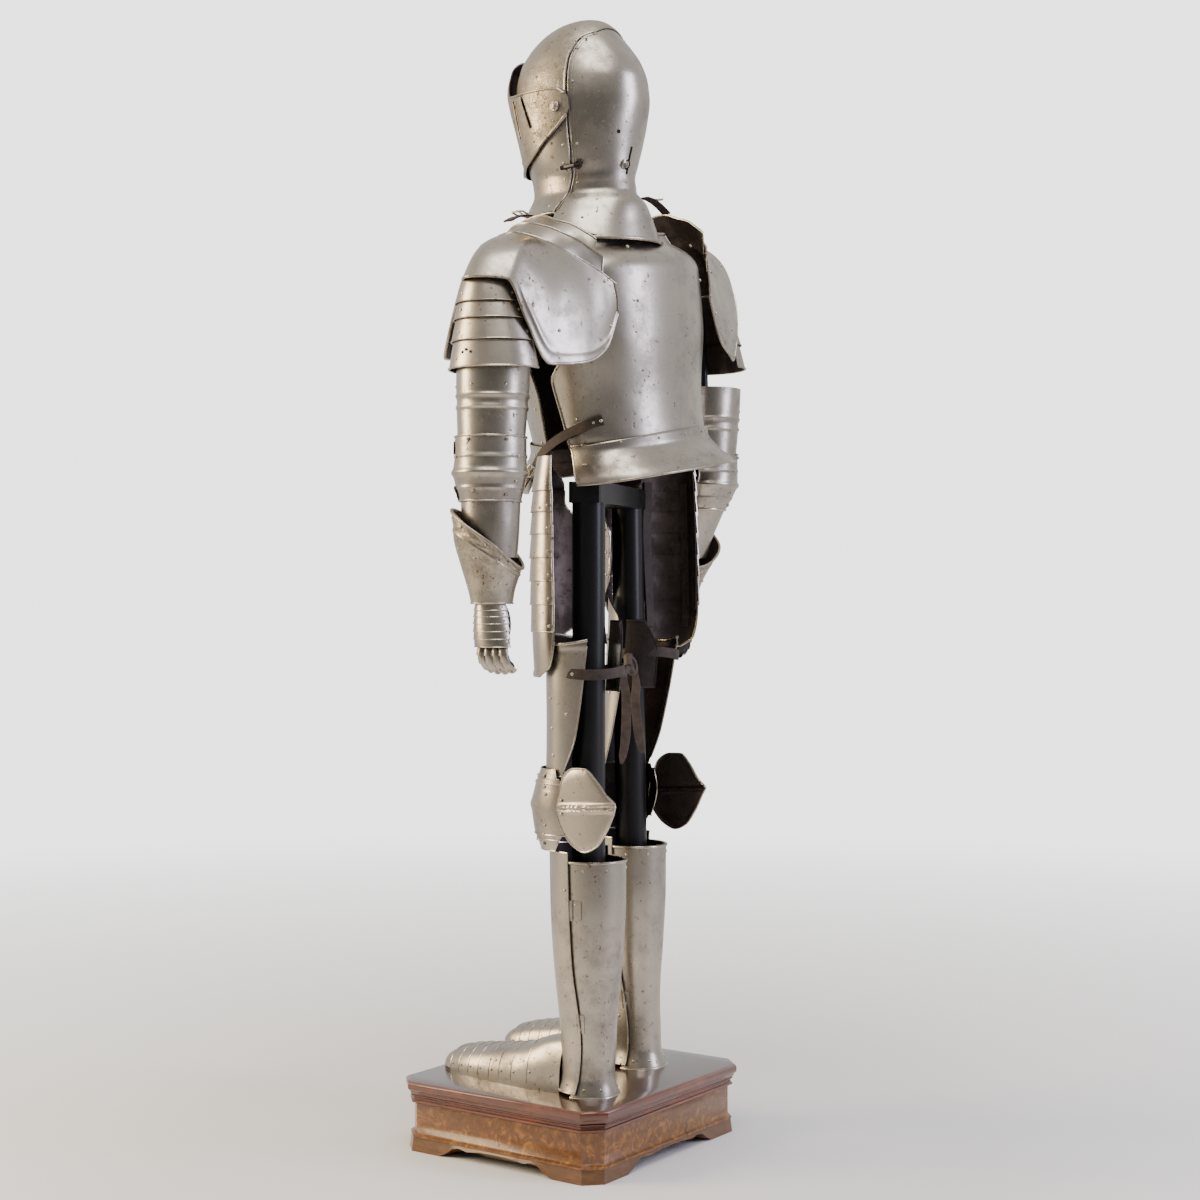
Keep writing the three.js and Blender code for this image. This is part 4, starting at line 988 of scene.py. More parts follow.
def fauldLames():
    work = Work()
    for k, (low, high, lift) in enumerate(skirt["fauld"]):
        grid = work.plate(skirtForm, edges((low, -66, 66), (high, -70, 70)), (8, 54), lift, beltDip, wall=1.3)
        work.tube(grid[0], 1.2 if k else 2.4, 8)
        work.rivets(skirtForm, [(low + 8, a) for a in (-58, 0, 58)], 2.0, 2.6)
    return work


show("waistFlange", waistFlange(), ["waist_flange"], group=inBody)
show("fauld", fauldLames(), ["fauld"], group=inBody)

hipForm = levels(
    (780, 108, 84, 74, 62, 50, 2, 0), (880, 104, 82, 88, 66, 50, 2, 0), (980, 100, 80, 92, 68, 50, 2, 0),
    (1080, 98, 78, 92, 62, 50, 2, 0), (1160, 96, 76, 84, 52, 50, 2, 0))
tasset = {
    "edge": edges((796, 45, 72), (812, 18, 94), (850, -16, 105), (880, -48, 107), (910, -70, 108),
                 (940, -78, 108), (990, -80, 107), (1030, -62, 107), (1060, -40, 106), (1084, -26, 106),
                 (1112, -24, 103), (1152, 8, 99)),
    "joints": (796, 868, 912, 950, 988, 1026, 1062, 1096, 1152), "lap": 7,
    "liner": edges((860, 92, 106), (960, 94, 109.5), (1080, 92, 107.5), (1120, 90, 105)),
    "leathers": (24, 80), "leatherWidth": 6,
}


def rightTasset(z, y, x):
    # its inner half passes in front of the post
    inner = np.clip((120 - x) / 24, 0, 1)
    return np.stack([-40 + 0 * x, 12 - 39 * inner, 42 + 0 * x], -1)


def tassetLames():
    work = Work()
    stops, table = tasset["joints"], tasset["edge"]
    for k, (low, high) in enumerate(zip(stops[:-1], stops[1:])):
        top = high + (tasset["lap"] if k < len(stops) - 2 else 0)
        corners = [row["z"] for row in table if low < row["z"] < top]
        marks = np.unique(np.concatenate([[low, top], corners, np.linspace(low, top, 5)]))
        edge = edges(*((z, float(column(table, "from", z)), float(column(table, "to", z))) for z in marks))
        grid = work.plate(hipForm, edge, (9 if k else 20, 36), (1.0 if k else 0.8, -1.6), wall=1.3)
        work.tube(grid[0], 1.0 if k else 2.2, 8)
        work.tube(grid[:, -1], 2.1, 8).tube(grid[:, 0], 2.1, 8)
        start, end = edge[1]["from"], edge[1]["to"]
        if k and end - start > 30:
            work.rivets(hipForm, [(low + 9, a) for a in (end - 8, start + 8, (start + end) / 2)], 0.6, 2.7)
    work.plate(hipForm, tasset["liner"], (30, 6), (-3.4, -3.4), wall=1.6, marks=lining)
    for angle in tasset["leathers"]:  # they carry the lames
        a, b = angle - tasset["leatherWidth"], angle + tasset["leatherWidth"]
        work.plate(hipForm, edges((830, a, b), (1085, a, b)), (40, 4), (-3.6, -3.6), wall=2.0, marks=lining)
    return work


showPair("tasset", tassetLames(), "tasset", rightTasset)
print("body ready")


# the arms

armForm = levels(
    (1150, 317, 71, 54, 50, 51), (1200, 317, 72, 57, 52, 54), (1270, 316, 73, 60, 54, 58),
    (1340, 314, 74, 60, 53, 60), (1400, 312, 73, 57, 48, 52), (1450, 304, 73, 46, 42, 44))
swing = rows("z y", (800, -52), (1000, -36), (1130, 4), (1300, 6))


def rightLower(z, y, x):
    return np.stack([rightArm["x"] + 0 * z, column(swing, "y", z), rightArm["z"] + 0 * z], -1)


def bandRise(z, *places):
    return sum(height * np.exp(-(((z - at) / wide) ** 2)) for at, wide, height in places)


upperArm = {
    "ends": (1160, 1290), "bands": ((1235, 2.4, 2.0), (1217, 2.4, 2.0), (1226, 3, -0.8)),
    "rivets": [(z, a) for z in (1166, 1250) for a in (96, 150, 40)],
}


def rerebrace():
    work = Work()
    grid = work.plate(armForm, edges(*((z, 0, 360) for z in upperArm["ends"])), (60, 60), wall=1.4,
                      relief=lambda z, a: bandRise(z, *upperArm["bands"]) + 0.4 * dents(z, a))
    return work.tube(grid[0], 1.6).rivets(armForm, upperArm["rivets"], 0, 2.4)


showPair("rerebrace", rerebrace(), "rerebrace", rightLower)

sleeveForm = levels(
    (1276, 316, 73, 69, 60, 80), (1310, 315, 73, 66, 58, 74), (1345, 314, 73, 63, 55, 66),
    (1380, 313, 73, 60, 52, 58), (1410, 311, 73, 56, 48, 52), (1445, 304, 73, 42, 38, 40))
sleeve = {
    # from the lowest lame up: the height of its foot, and where it starts and ends
    "edge": [(1276, -40, 186), (1318, -45, 184), (1352, -48, 176), (1378, -50, 168), (1438, -50, 168)],
    "lap": 8, "lift": (4.2, 0.0), "holes": ((1302, 92), (1298, 86), (1298, 98)), "hole": 2.2,
}


def armLame(k):
    work = Work()
    (low, first, last), high = sleeve["edge"][k:k + 2]
    top = high[0] + (sleeve["lap"] if k < 3 else 0)
    grid = work.plate(sleeveForm, edges((low, first, last), (top, *high[1:])), (12, 52), sleeve["lift"],
                      relief=lambda z, a: 0.3 * dents(z, a), wall=1.4)
    work.tube(grid[0], 1.1 if k else 1.7, 8)
    for j in (0, -1):
        work.tube(grid[1:, j], 1.2, 6)
    work.rivets(sleeveForm, [(low + 13, a) for a in (first + 9, 74, last - 10)], 3.0, 2.7)
    if k == 0:  # the keyhole-shaped trio of holes
        for z, angle in sleeve["holes"]:
            work.hole(sleeveForm, z, angle, 3.0, sleeve["hole"], 0.25, 10)
    return work


for k in range(4):
    showPair(f"armLame{4 - k}", armLame(k), f"arm_lame_{4 - k}",
             steady(rightShoulder["x"], rightShoulder["y"], rightShoulder["z"]))

elbowForm = levels(
    (1068, 318, 70, 52, 46, 48, 2, 0), (1095, 318, 70, 57, 54, 54, 2, 2), (1118, 318, 70, 61, 56, 57, 2, 4),
    (1142, 318, 71, 60, 56, 57, 2, 2), (1172, 318, 71, 60, 56, 57, 2, 0))


elbow = {
    "edge": edges((1072, 10, 250), (1095, -20, 250), (1118, -40, 250), (1150, -16, 250), (1172, 10, 250)),
    "bands": ((1116, 5, 3.4), (1116, 22, 1.6), (1142, 2.2, 1.4), (1092, 2.2, 1.4)), "sink": 2.0,
    "rivets": ((1166, 92), (1166, 156), (1166, 24), (1141, 178), (1141, 60), (1102, 175), (1086, 100),
               (1080, 158), (1080, 30)),
    # torn leather at both edges: its whole side, its torn side, the angles
    "leather": ((1146, 1166, (2, 46)), (1096, 1070, (6, 50))), "tear": 0.85,
}


def elbowRelief(z, a):
    return bandRise(z, *elbow["bands"]) - elbow["sink"] + 0.5 * dents(z, a)


def couter():
    work = Work()
    grid = work.plate(elbowForm, elbow["edge"], (56, 64), relief=elbowRelief, wall=1.5)
    for k in (0, -1):
        work.tube(grid[k], 1.9, 8).tube(grid[1:-1, k], 1.5, 8)
    work.rivets(elbowForm, elbow["rivets"], -0.4, 2.8)
    ragged = np.random.default_rng(7)
    for whole, torn, angles in elbow["leather"]:
        turn = np.linspace(*angles, 44)[None, :]
        bite = ragged.uniform(0, 1, 44) ** 1.6 * (torn - whole) * elbow["tear"]
        edge = torn - (bite + np.roll(bite, 1)) / 2
        u = np.linspace(0, 1, 7)[:, None]
        z = np.minimum(edge, whole)[None] * (1 - u) + np.maximum(edge, whole)[None] * u
        work.sheet(standOff(elbowForm, z, turn, elbowRelief(z, turn) + 2.2), 1.2, lining)
    return work


showPair("couter", couter(), "couter", rightLower)

forearmForm = levels(
    (905, 309, 66, 33, 24, 27), (925, 310, 66, 35, 26, 29), (980, 312, 67, 44, 36, 39),
    (1040, 316, 69, 48, 43, 45), (1090, 318, 70, 50, 45, 47))


def vambrace():
    work = Work()
    grid = work.plate(forearmForm, edges((985, 0, 360), (1086, 0, 360)), (30, 56), wall=1.4,
                      relief=lambda z, a: 0.4 * dents(z, a) - 0.3)
    return work.tube(grid[-1], 1.5).rivets(forearmForm, ((1070, 95), (1070, 180), (1004, 20)), 0, 2.3)


showPair("vambrace", vambrace(), "vambrace", rightLower)

cuffForm = levels(
    (905, 309, 66, 36, 27, 30), (930, 310, 66, 40, 32, 34), (980, 313, 68, 55, 46, 53),
    (1015, 315, 71, 65, 56, 66), (1070, 317, 72, 68, 60, 66))


cuff = {
    "low": 914, "high": 1014, "slant": 46, "slantFacing": 25, "band": (0.80, 0.985),
    "rim": 2.6, "rimRivets": range(0, 360, 40), "rivets": ((66, 0.62), (102, 0.62), (66, 0.2), (150, 0.4)),
}


def cuffHeight(a, t, low=cuff["low"], high=cuff["high"]):
    return low + (high - low) * t + cuff["slant"] * t * np.cos(np.radians(a - cuff["slantFacing"]))


def cuffBorder(t, a):
    # a plain band with a raised rim below, filled with a running leaf
    first, last = cuff["band"]
    band = np.clip((t - first) * 60, 0, 1) * np.clip((last - t) * 60, 0, 1)
    wave = np.sin(np.radians(a) * 13 + 2.2 * np.sin(t * 33))
    leaf = np.cos(np.radians(a) * 26 + t * 70)
    return (0.9 * np.exp(-(((t - first + 0.01) / 0.014) ** 2)) - 1.1 * band
            + band * (0.75 * np.maximum(0, wave) ** 0.6 + 0.35 * np.maximum(0, leaf)))


def cuffGrid(steps, turns, low, high, rise):
    t, a = np.linspace(0, 1, steps)[:, None], np.linspace(0, 360, turns)[None, :]
    z = cuffHeight(a, t, low, high)
    grid = standOff(cuffForm, z, a + 0 * z, rise(t, a) + 0 * z)
    grid[:, -1] = grid[:, 0]
    return grid


def gauntletCuff():
    grid = cuffGrid(91, 121, cuff["low"], cuff["high"], cuffBorder)
    inside = cuffGrid(16, 31, cuff["low"] + 12, cuff["high"] - 4, lambda t, a: -2.4)
    work = Work().sheet(grid, 1.4).tube(grid[-1], cuff["rim"], 10, mark=outerFace).tube(grid[0], 1.5, 8)
    work.rivets(cuffForm, [(cuffHeight(a, 0.92), a) for a in cuff["rimRivets"]], -0.4, 2.4)
    work.rivets(cuffForm, [(cuffHeight(a, t), a) for a, t in cuff["rivets"]], 0, 2.8)
    return work.sheet(inside, 1.4, lining)


showPair("gauntletCuff", gauntletCuff(), "gauntlet_cuff", rightLower, skins=etchedSkins)

handForm = levels(
    (828, 296, 70, 30, 30, 30), (850, 302, 68, 31, 34, 34), (880, 306, 67, 31, 31, 33),
    (925, 308, 66, 31, 23, 26))
hand = {
    "lames": (846, 858, 870, 882, 893, 903, 913, 924), "lap": 4, "rivetAngles": (0, 160),
    # the size of a scale, the way that it faces and the number of scales
    "finger": (7.2, (1, 0, -0.35), 5), "thumb": (8.0, (0.2, -1, 0.1), 4),
    "palm": (300, 67, 880), "palmSize": (20, 26, 42), "fingerRadius": 7.0, "fingerTip": (6.2, 5.0, 2.6),
    "thumbRadius": 8.0, "thumbTip": (7.2, 5.8, 3.0),
}
fingerLines = [
    [(304, 68 + a * 0.9, 862), (308, 68 + a, 838), (300, 68 + a, 818 + 2 * abs(k - 1.5)),
     (283, 68 + a * 0.95, 809 + 2 * abs(k - 1.5))]
    for k, a in enumerate((-22, -8, 7, 21))]
thumbLine = [(288, 46, 882), (277, 38, 862), (272, 38, 838)]


def scaleFinger(work, line, radius, facing, count):
    # small overlapping plates along the back of a finger
    path = smoothLine(line, count * 4 + 1)
    ahead = unit(np.gradient(path, axis=0))
    out = unit(np.asarray(facing, float) - ahead * (ahead @ np.asarray(facing, float))[:, None])
    side = np.cross(ahead, out)
    turn = np.radians(np.linspace(-82, 82, 11))[None, :, None]
    for k in range(count):
        i = np.arange(4 * k, min(4 * k + 5, len(path)))
        size = radius + np.linspace(0.0, 2.2, len(i))[:, None, None]
        arc = np.cos(turn) * out[i][:, None] + np.sin(turn) * side[i][:, None]
        work.sheet(path[i][:, None] + size * arc, 0.8)
    return work


def gauntletHand():
    work = Work()
    stops = hand["lames"]
    for low, high in zip(stops[:-1], stops[1:]):
        widen = 10 * (low - stops[0]) / (stops[-1] - stops[0])
        edge = edges((low, -10 - widen, 170 + widen), (min(high + hand["lap"], stops[-1]), -14, 170 + widen))
        grid = work.plate(handForm, edge, (5, 34), (0.9, -0.9), wall=1.0)
        work.tube(grid[0], 0.8, 6).rivets(handForm, [(low + 5, a) for a in hand["rivetAngles"]], 0.4, 1.5)
    for line in fingerLines:
        scaleFinger(work, line, *hand["finger"])
    return scaleFinger(work, thumbLine, *hand["thumb"])


def glove():
    work = Work()
    (x, y, z), (deep, wide, tall) = hand["palm"], hand["palmSize"]
    t, a = np.linspace(0, math.pi, 22)[::-1, None], np.linspace(0, 2 * math.pi, 33)[None, :]
    palm = np.stack(np.broadcast_arrays(x + deep * np.sin(t) * np.sin(a), y - wide * np.sin(t) * np.cos(a),
                                        z + tall * np.cos(t)), -1)
    work.sheet(palm[1:-1], 1.5, (outerFace,) * 3)
    fingers = [(line, 22, hand["fingerRadius"], hand["fingerTip"], 0.03) for line in fingerLines]
    fingers.append((thumbLine, 16, hand["thumbRadius"], hand["thumbTip"], 0))
    for line, count, radius, tip, crease in fingers:
        girth = np.full(count, radius)
        girth[-3:] = tip
        work.tube(smoothLine(line, count), girth * (1 + crease * np.sin(np.arange(count) * 1.9)), 14,
                  mark=outerFace)
    return work


showPair("gauntletHand", gauntletHand(), "gauntlet_hand", rightLower)
showPair("glove", glove(), "glove", rightLower,
         skins=(gloveLeather, gloveLeather, gloveLeather, gloveLeather, shadeAndBlack))
print("arms ready")


# the shoulders

shoulder = rows(
    "at outX outY outZ topX topY topZ neckX neckY neckZ bulge",
    (0, 128, -60, 1388, 132, -56, 1440, 140, -40, 1484, 2),
    (1, 160, -70, 1340, 166, -40, 1464, 150, -26, 1502, 9),
    (2, 215, -74, 1318, 200, -16, 1482, 162, -8, 1518, 14),
    (3, 266, -58, 1312, 230, 10, 1492, 170, 12, 1531, 16),
    (4, 316, 18, 1408, 248, 36, 1496, 176, 34, 1540, 16), (5, 372, 72, 1414, 258, 64, 1496, 178, 62, 1543, 18),
    (6, 348, 126, 1410, 250, 94, 1489, 174, 96, 1533, 19),
    (7, 324, 146, 1348, 238, 112, 1481, 168, 118, 1525, 19),
    (8, 280, 158, 1288, 216, 130, 1470, 162, 136, 1515, 16),
    (9, 214, 176, 1296, 186, 146, 1455, 156, 150, 1505, 10),
    (10, 168, 180, 1320, 160, 162, 1440, 152, 160, 1497, 7),
    (11, 134, 178, 1376, 136, 174, 1424, 148, 167, 1488, 2))
shoulderHeart = np.array([225.0, 60.0, 1380.0])


def shoulderPoint(at, edge, off=0.0):
    at, edge = np.broadcast_arrays(np.asarray(at, float), np.asarray(edge, float))
    out, top, neck = (np.stack([column(shoulder, side + axis, at, "at") for axis in "XYZ"], -1)
                      for side in ("out", "top", "neck"))
    along = edge[..., None]
    swell = (column(shoulder, "bulge", at, "at") * np.sin(np.pi * np.clip(edge, 0, 1)))[..., None]
    lower = out + (top - out) * along + unit((out + top) / 2 - shoulderHeart) * swell
    point = np.where(along > 1, top + (neck - top) * (along - 1), lower)
    return point + unit(point - shoulderHeart) * np.broadcast_to(np.asarray(off, float), at.shape)[..., None]


def shoulderBand(low, high, size, lift, first=0.0, last=11.0, relief=None):
    t = np.linspace(0, 1, size[0] + 1)[:, None]
    at = np.linspace(first, last, size[1] + 1)[None, :]
    edge = low + (high - low) * t
    off = lift[0] + (lift[1] - lift[0]) * t + 0 * at
    if relief:
        off = off + relief(edge, at)
    return shoulderPoint(at + 0 * edge, edge + 0 * at, off)


def rightWing(z, y, x):
    return np.stack([-16 + 0.27 * (x - 130), rightShoulder["y"] + 0 * x, rightShoulder["z"] + 0 * x], -1)


def shoulderRivets(work, places, off, radius):
    for at, edge in places:
        here = shoulderPoint(at, edge, off)
        out = unit(np.cross(shoulderPoint(at + 0.05, edge, off) - here,
                            shoulderPoint(at, edge + 0.02, off) - here))
        work.rivet(here, out if out @ (here - shoulderHeart) > 0 else -out, radius)
    return work


wing = {
    "ridge": (0.11, 0.035, 2.0), "off": 5.5, "wall": 1.6,
    "rivets": ((9.2, 0.84), (6.6, 0.62), (8.0, 0.28), (10.2, 0.9), (2.4, 0.84), (4.2, 0.62), (5.2, 0.9),
               (1.2, 0.86), (10.3, 0.22)),
}


def wingRelief(edge, at):
    # hammered, with a ridge along the foot of the wing behind
    where, wide, high = wing["ridge"]
    return (0.25 * np.sin(at * 1.3 + edge * 4) * np.cos(edge * 5 - at) + 0.08 * np.sin(at * 7 - edge * 5) - 0.6
            + high * np.exp(-(((edge - where) / wide) ** 2)) * np.clip((at - 6.4) * 2, 0, 1))


def pauldron():
    grid = shoulderBand(0, 1.04, (56, 160), (wing["off"], wing["off"]), relief=wingRelief)
    work = Work().sheet(grid, wing["wall"]).tube(grid[0], 2.4, 10).tube(grid[-1], 1.3, 8)
    work.tube(grid[1:-1, 0], 2.0, 8).tube(grid[1:-1, -1], 2.0, 8)
    return shoulderRivets(work, wing["rivets"], wing["off"] - 0.5, 3.1)


def neckLame(low, high, lift, first, last, places):
    grid = shoulderBand(low, high, (20, 110), lift, first, last,
                        relief=lambda edge, at: 0.4 * np.sin(at * 3 + edge * 9))
    work = Work().sheet(grid, 1.4).tube(grid[-1], 1.9, 10).tube(grid[0], 1.1, 8)
    for k in (0, -1):
        work.tube(grid[1:-1, k], 1.4, 8)
    return shoulderRivets(work, [(at, low + (high - low) * 0.3) for at in places], lift[0] + 0.4, 2.6)


showPair("pauldron", pauldron(), "pauldron", rightWing)
showPair("neckLame2", neckLame(0.94, 1.55, (-1.5, 2), 0.6, 10.4, (1.2, 3.5, 5.5, 7.5, 9.8)), "neck_lame_2",
         rightWing)
showPair("neckLame1", neckLame(1.4, 2.0, (-6, -3), 1.2, 9.8, (2.4, 5.5, 8.6)), "neck_lame_1", rightWing)
print("shoulders ready")


# the helmet

pivot = {"y": 22, "z": 0, "shank": 3, "head": 8}
skull = rows(
    "z x y w f b square keel",
    (-228, 0, 0, 132, 106, 132, 2, 0), (-190, 0, 0, 113, 100, 121, 2, 2), (-158, 0, 0, 92, 94, 113, 2, 3),
    (-127, 0, 0, 73, 85, 94, 2, 4), (-112, 0, 0, 73, 86, 92, 2, 5), (-84, 0, 0, 84, 91, 97, 2, 5),
    (-51, 0, 0, 94, 96, 105, 2, 4), (-18, 0, 0, 99, 102, 114, 2, 3), (21, 0, 0, 100, 108, 121, 2, 2),
    (49, 0, 0, 97, 110, 119, 2, 2), (80, 0, 4, 88, 109, 104, 2, 2), (104, 0, 8, 77, 98, 84, 2, 2),
    (124, 0, 12, 62, 84, 64, 2, 1), (140, 0, 16, 45, 64, 45, 2, 0), (150, 0, 18, 26, 38, 27, 2, 0),
    (154, 0, 20, 0, 0, 0, 2, 0))
skullForm = sections(skull)
frontLift, visorLift, reachX = 3.0, 6.0, 170.0
seam = [(72, 200), (70, 146), (60, 124), (45, 112), (36, 80), (37, 20), (37, -25), (34, -71), (22, -127),
        (9, -166)]


def bowl(low, off, size, relief=None):
    t = np.linspace(0, 1, size[0] + 1)[:, None]
    a = np.linspace(0, 360, size[1] + 1)[None, :]
    z = low + (154 - low) * np.sin(np.pi / 2 * t) ** 1.1
    z, a = np.broadcast_arrays(z, a)
    grid = skullForm(z, a)
    out = unit(np.stack([grid[..., 0], grid[..., 1] - 30 * (z > 100), np.maximum(0, z) * 1.2], -1))
    rise = off + (relief(z, a) if relief else 0) * np.clip((150 - z) / 30, 0, 1)
    grid = grid + out * (np.broadcast_to(rise, z.shape))[..., None]
    grid[:, -1] = grid[:, 0]
    return grid


def sideBlock(outline, low=-reachX, high=reachX):
    # a cutter: an outline seen from the side, (y, z), right across the helmet
    outline = np.asarray(outline, float)
    after = np.roll(outline, -1, 0)
    if (outline[:, 0] * after[:, 1] - after[:, 0] * outline[:, 1]).sum() < 0:
        outline = outline[::-1]
    work = Work().block([tuple(p) for p in outline], low, high, trimFace)
    return work.moved(lambda p: p[:, [2, 0, 1]])


def onSkull(line, side=1, off=0.0, steps=60):
    # a line of (y, z) seen from the side, laid on the skull
    line = smoothLine(line, steps)
    points = []
    for y, z in line:
        middle = float(column(skull, "y", z))
        reach = float(column(skull, "b" if y > middle else "f", z))
        wide = float(column(skull, "w", z))
        share = min(0.995, abs(y - middle) / max(reach, 1))
        points.append((side * wide * math.sqrt(1 - share ** 2), y, z))
    points = np.array(points)
    out = unit(points * (1, 1, 0.4))
    return points + out * off


helmDents = lambda z, a: 0.3 * np.sin(z / 29 + np.radians(a) * 3) * np.cos(np.radians(a) * 2 - z / 53) \
    + 0.1 * np.sin(z / 11 + np.radians(a) * 7)


def collarRelief(z, a):
    return helmDents(z, a) * 0.8 - 0.5 + bandRise(z, (-134, 4, -1.6), (-150, 5, 0.8), (-121, 6, 0.8))


def shifted(by, part):
    return [(y + by, z) for y, z in part]


# beads: line, how far it stands out, steps, radius, sides; rivets: places, how far out, radius
rearLook = {
    "beads": ((shifted(3.2, seam[2:]), 0.2, 90, 1.5, 8), (shifted(9.0, seam[3:9]), -0.5, 70, 0.7, 6),
              ([(13, -181), (36, -192), (62, -203.5), (92, -216)], 0.6, 40, 3.0, 10)),
    "rivets": (((46, 96), (47, 40), (46, -60), (35, -120), (60, -182), (24, -172), (96, -176)), 0, 2.3),
    # the boss on the back that a lace is tied to
    "boss": (-91.0, 170.0), "profile": [(9, -1), (9, 0.8), (7.6, 1.8), (4.6, 2.2), (4.2, 4.4), (2.6, 5.2),
                                        (0.02, 5.4)],
    "lace": ((-62, -106), (177, 174)), "laceRing": 7, "hole": (-41.0, 157.0),
}
frontLook = {
    "beads": ((shifted(-2.0, seam[2:7]), frontLift + 0.2, 80, 1.4, 8),),
    "rivets": (((54, 112), (30, 62)), frontLift - 0.4, 2.2),
}
bevorLook = {
    "beads": ((shifted(-2.2, seam[6:]), frontLift + 0.2, 60, 1.3, 8),
              ([(9, -168), (-20, -168.5), (-55, -169), (-88, -168)], frontLift + 0.2, 40, 2.2, 10)),
    "rivets": (((24, -60), (14, -112), (-6, -156), (-50, -156)), frontLift - 0.4, 2.4),
    # the hook and eye that holds it shut
    "hook": [(46, -91), (34, -92), (22, -93), (12, -94)], "eye": 6.2, "hookRivets": ((19, -87), (20, -98)),
}


def skullRivets(work, side, places, off, radius):
    for y, z in places:
        spot = onSkull([(y, z), (y + 0.5, z), (y + 1, z)], side, off, 3)[0]
        work.rivet(spot, spot * (1, 1, 0.1), radius)
    return work


def trimmed(look):
    work = Work()
    for side in (1, -1):
        for line, off, steps, radius, sides in look["beads"]:
            work.tube(onSkull(line, side, off, steps), radius, sides)
        skullRivets(work, side, *look["rivets"])
    return work


def ringAcross(centre, radius, count):
    turn = np.linspace(0, 2 * math.pi, count, endpoint=False)
    return centre + np.stack([0 * turn, radius * np.cos(turn), radius * np.sin(turn)], -1)


def rearTrim():
    work = trimmed(rearLook)
    work.tube(skullForm(-217.0, np.linspace(128, 232, 50)), 3.2, 10)
    at, out = standOff(skullForm, *rearLook["boss"]), outward(skullForm, *rearLook["boss"])
    work.lathe(rearLook["profile"], at, out, 20)
    z, angle = rearLook["lace"]
    work.tube(standOff(skullForm, np.linspace(*z, 8), np.linspace(*angle, 8), 0.1), 1.6, 6, mark=gapFace)
    work.tube(ringAcross(at + out * 2, rearLook["laceRing"], 20), 1.2, 6, closed=True, mark=gapFace)
    return work.hole(skullForm, *rearLook["hole"], 0, 3.2, 0.3, 14)


def bevorTrim():
    work = trimmed(bevorLook)
    work.tube(standOff(skullForm, -168.0, np.linspace(-24, 24, 24), frontLift + 0.2), 2.2, 10)
    base = onSkull(bevorLook["hook"], 1, frontLift + 1.6, 12)
    work.tube(base, 3.6, 10, mark=gapFace).tube(base[3:9] + (3.0, 0, 0), 2.4, 8)
    work.tube(ringAcross(base[1] + (2.6, 0, 0), bevorLook["eye"], 16), 1.7, 8, closed=True, mark=gapFace)
    return skullRivets(work, 1, bevorLook["hookRivets"], frontLift, 2.4)


rearPrism = sideBlock([*shifted(0.6, seam), (9.6, -178), (60, -202), (120, -236), (220, -236), (220, 200)])
rearShell = Work().sheet(bowl(-218, 0.0, (96, 150), collarRelief), 1.8)
frontPrism = sideBlock([*seam[:7], (-20, -25), (-20, 24), (-98, 30), (-190, 40), (-190, 200)])
frontShell = Work().sheet(bowl(-60, frontLift, (70, 150), helmDents), 1.8)
bevorPrism = sideBlock([(37, -25.6), *seam[7:], (-60, -169), (-190, -167), (-190, -44), (-20, -38),
                        (-20, -25.6)])
bevorShell = Work().sheet(bowl(-190, frontLift, (80, 150), helmDents), 1.8)
pivotHole = Work().lathe([(pivot["shank"] + 0.5, -reachX), (pivot["shank"] + 0.5, reachX)],
                         (0, pivot["y"], pivot["z"]), (1, 0, 0), 24, trimFace)
show("helmetRear", rearShell, ["helmet_rear"], group=inHelmet, cuts=[("INTERSECT", rearPrism)],
     extra=rearTrim())
show("helmetFront", frontShell, ["helmet_front"], group=inHelmet, skins=etchedSkins,
     cuts=[("INTERSECT", frontPrism), ("DIFFERENCE", pivotHole)], extra=trimmed(frontLook))
show("helmetBevor", bevorShell, ["helmet_bevor"], group=inHelmet, cuts=[("INTERSECT", bevorPrism)],
     extra=bevorTrim())

visorLook = {
    # how much wider and further forward than the skull it is
    "wider": 2.4, "nearer": 5, "swell": (12, 60, 60), "keel": 6,
    "edge": [(44, -4), (43, 14), (36, 26), (20, 31), (-74, 33), (-98, 38), (-108, 74), (-116, 124), (-190, 126),
             (-190, -92), (-104, -92), (-84, -88), (-42, -74), (3, -47), (38, -20)],
    # each sight, front end first, and its height
    "sights": [(-57, 30, -35, -27, 6.0), (-81, 26, -70, -38, 5.0)],
    "lower": [(40, -14), (20, -33), (0, -46.5), (-42, -71.5), (-84, -85.5), (-100, -89.5)],
    "upper": [(38, 20), (20, 28.5), (-30, 30.5), (-70, 31.5), (-90, 34.5)],
    "rivets": ((16, -22), (-30, -48), (-92, -70), (-70, 20)),
}
swell, swellAt, swellWide = visorLook["swell"]
visorForm = sections([
    {**row, "f": row["f"] + visorLook["nearer"] + swell * math.exp(-(((row["z"] - swellAt) / swellWide) ** 2)),
     "w": row["w"] + visorLook["wider"], "keel": row["keel"] + visorLook["keel"]} for row in skull[3:13]])


def visorAngle(y, z):
    # the angle round the visor at which its side reaches y
    angles = np.linspace(2, 140, 277)
    at = standOff(visorForm, z, angles, visorLift)[:, 1]
    return float(angles[np.argmin(np.abs(at - y))])


def onVisor(line, side, off):
    return np.array([standOff(visorForm, z, side * visorAngle(y, z), off) for y, z in line])


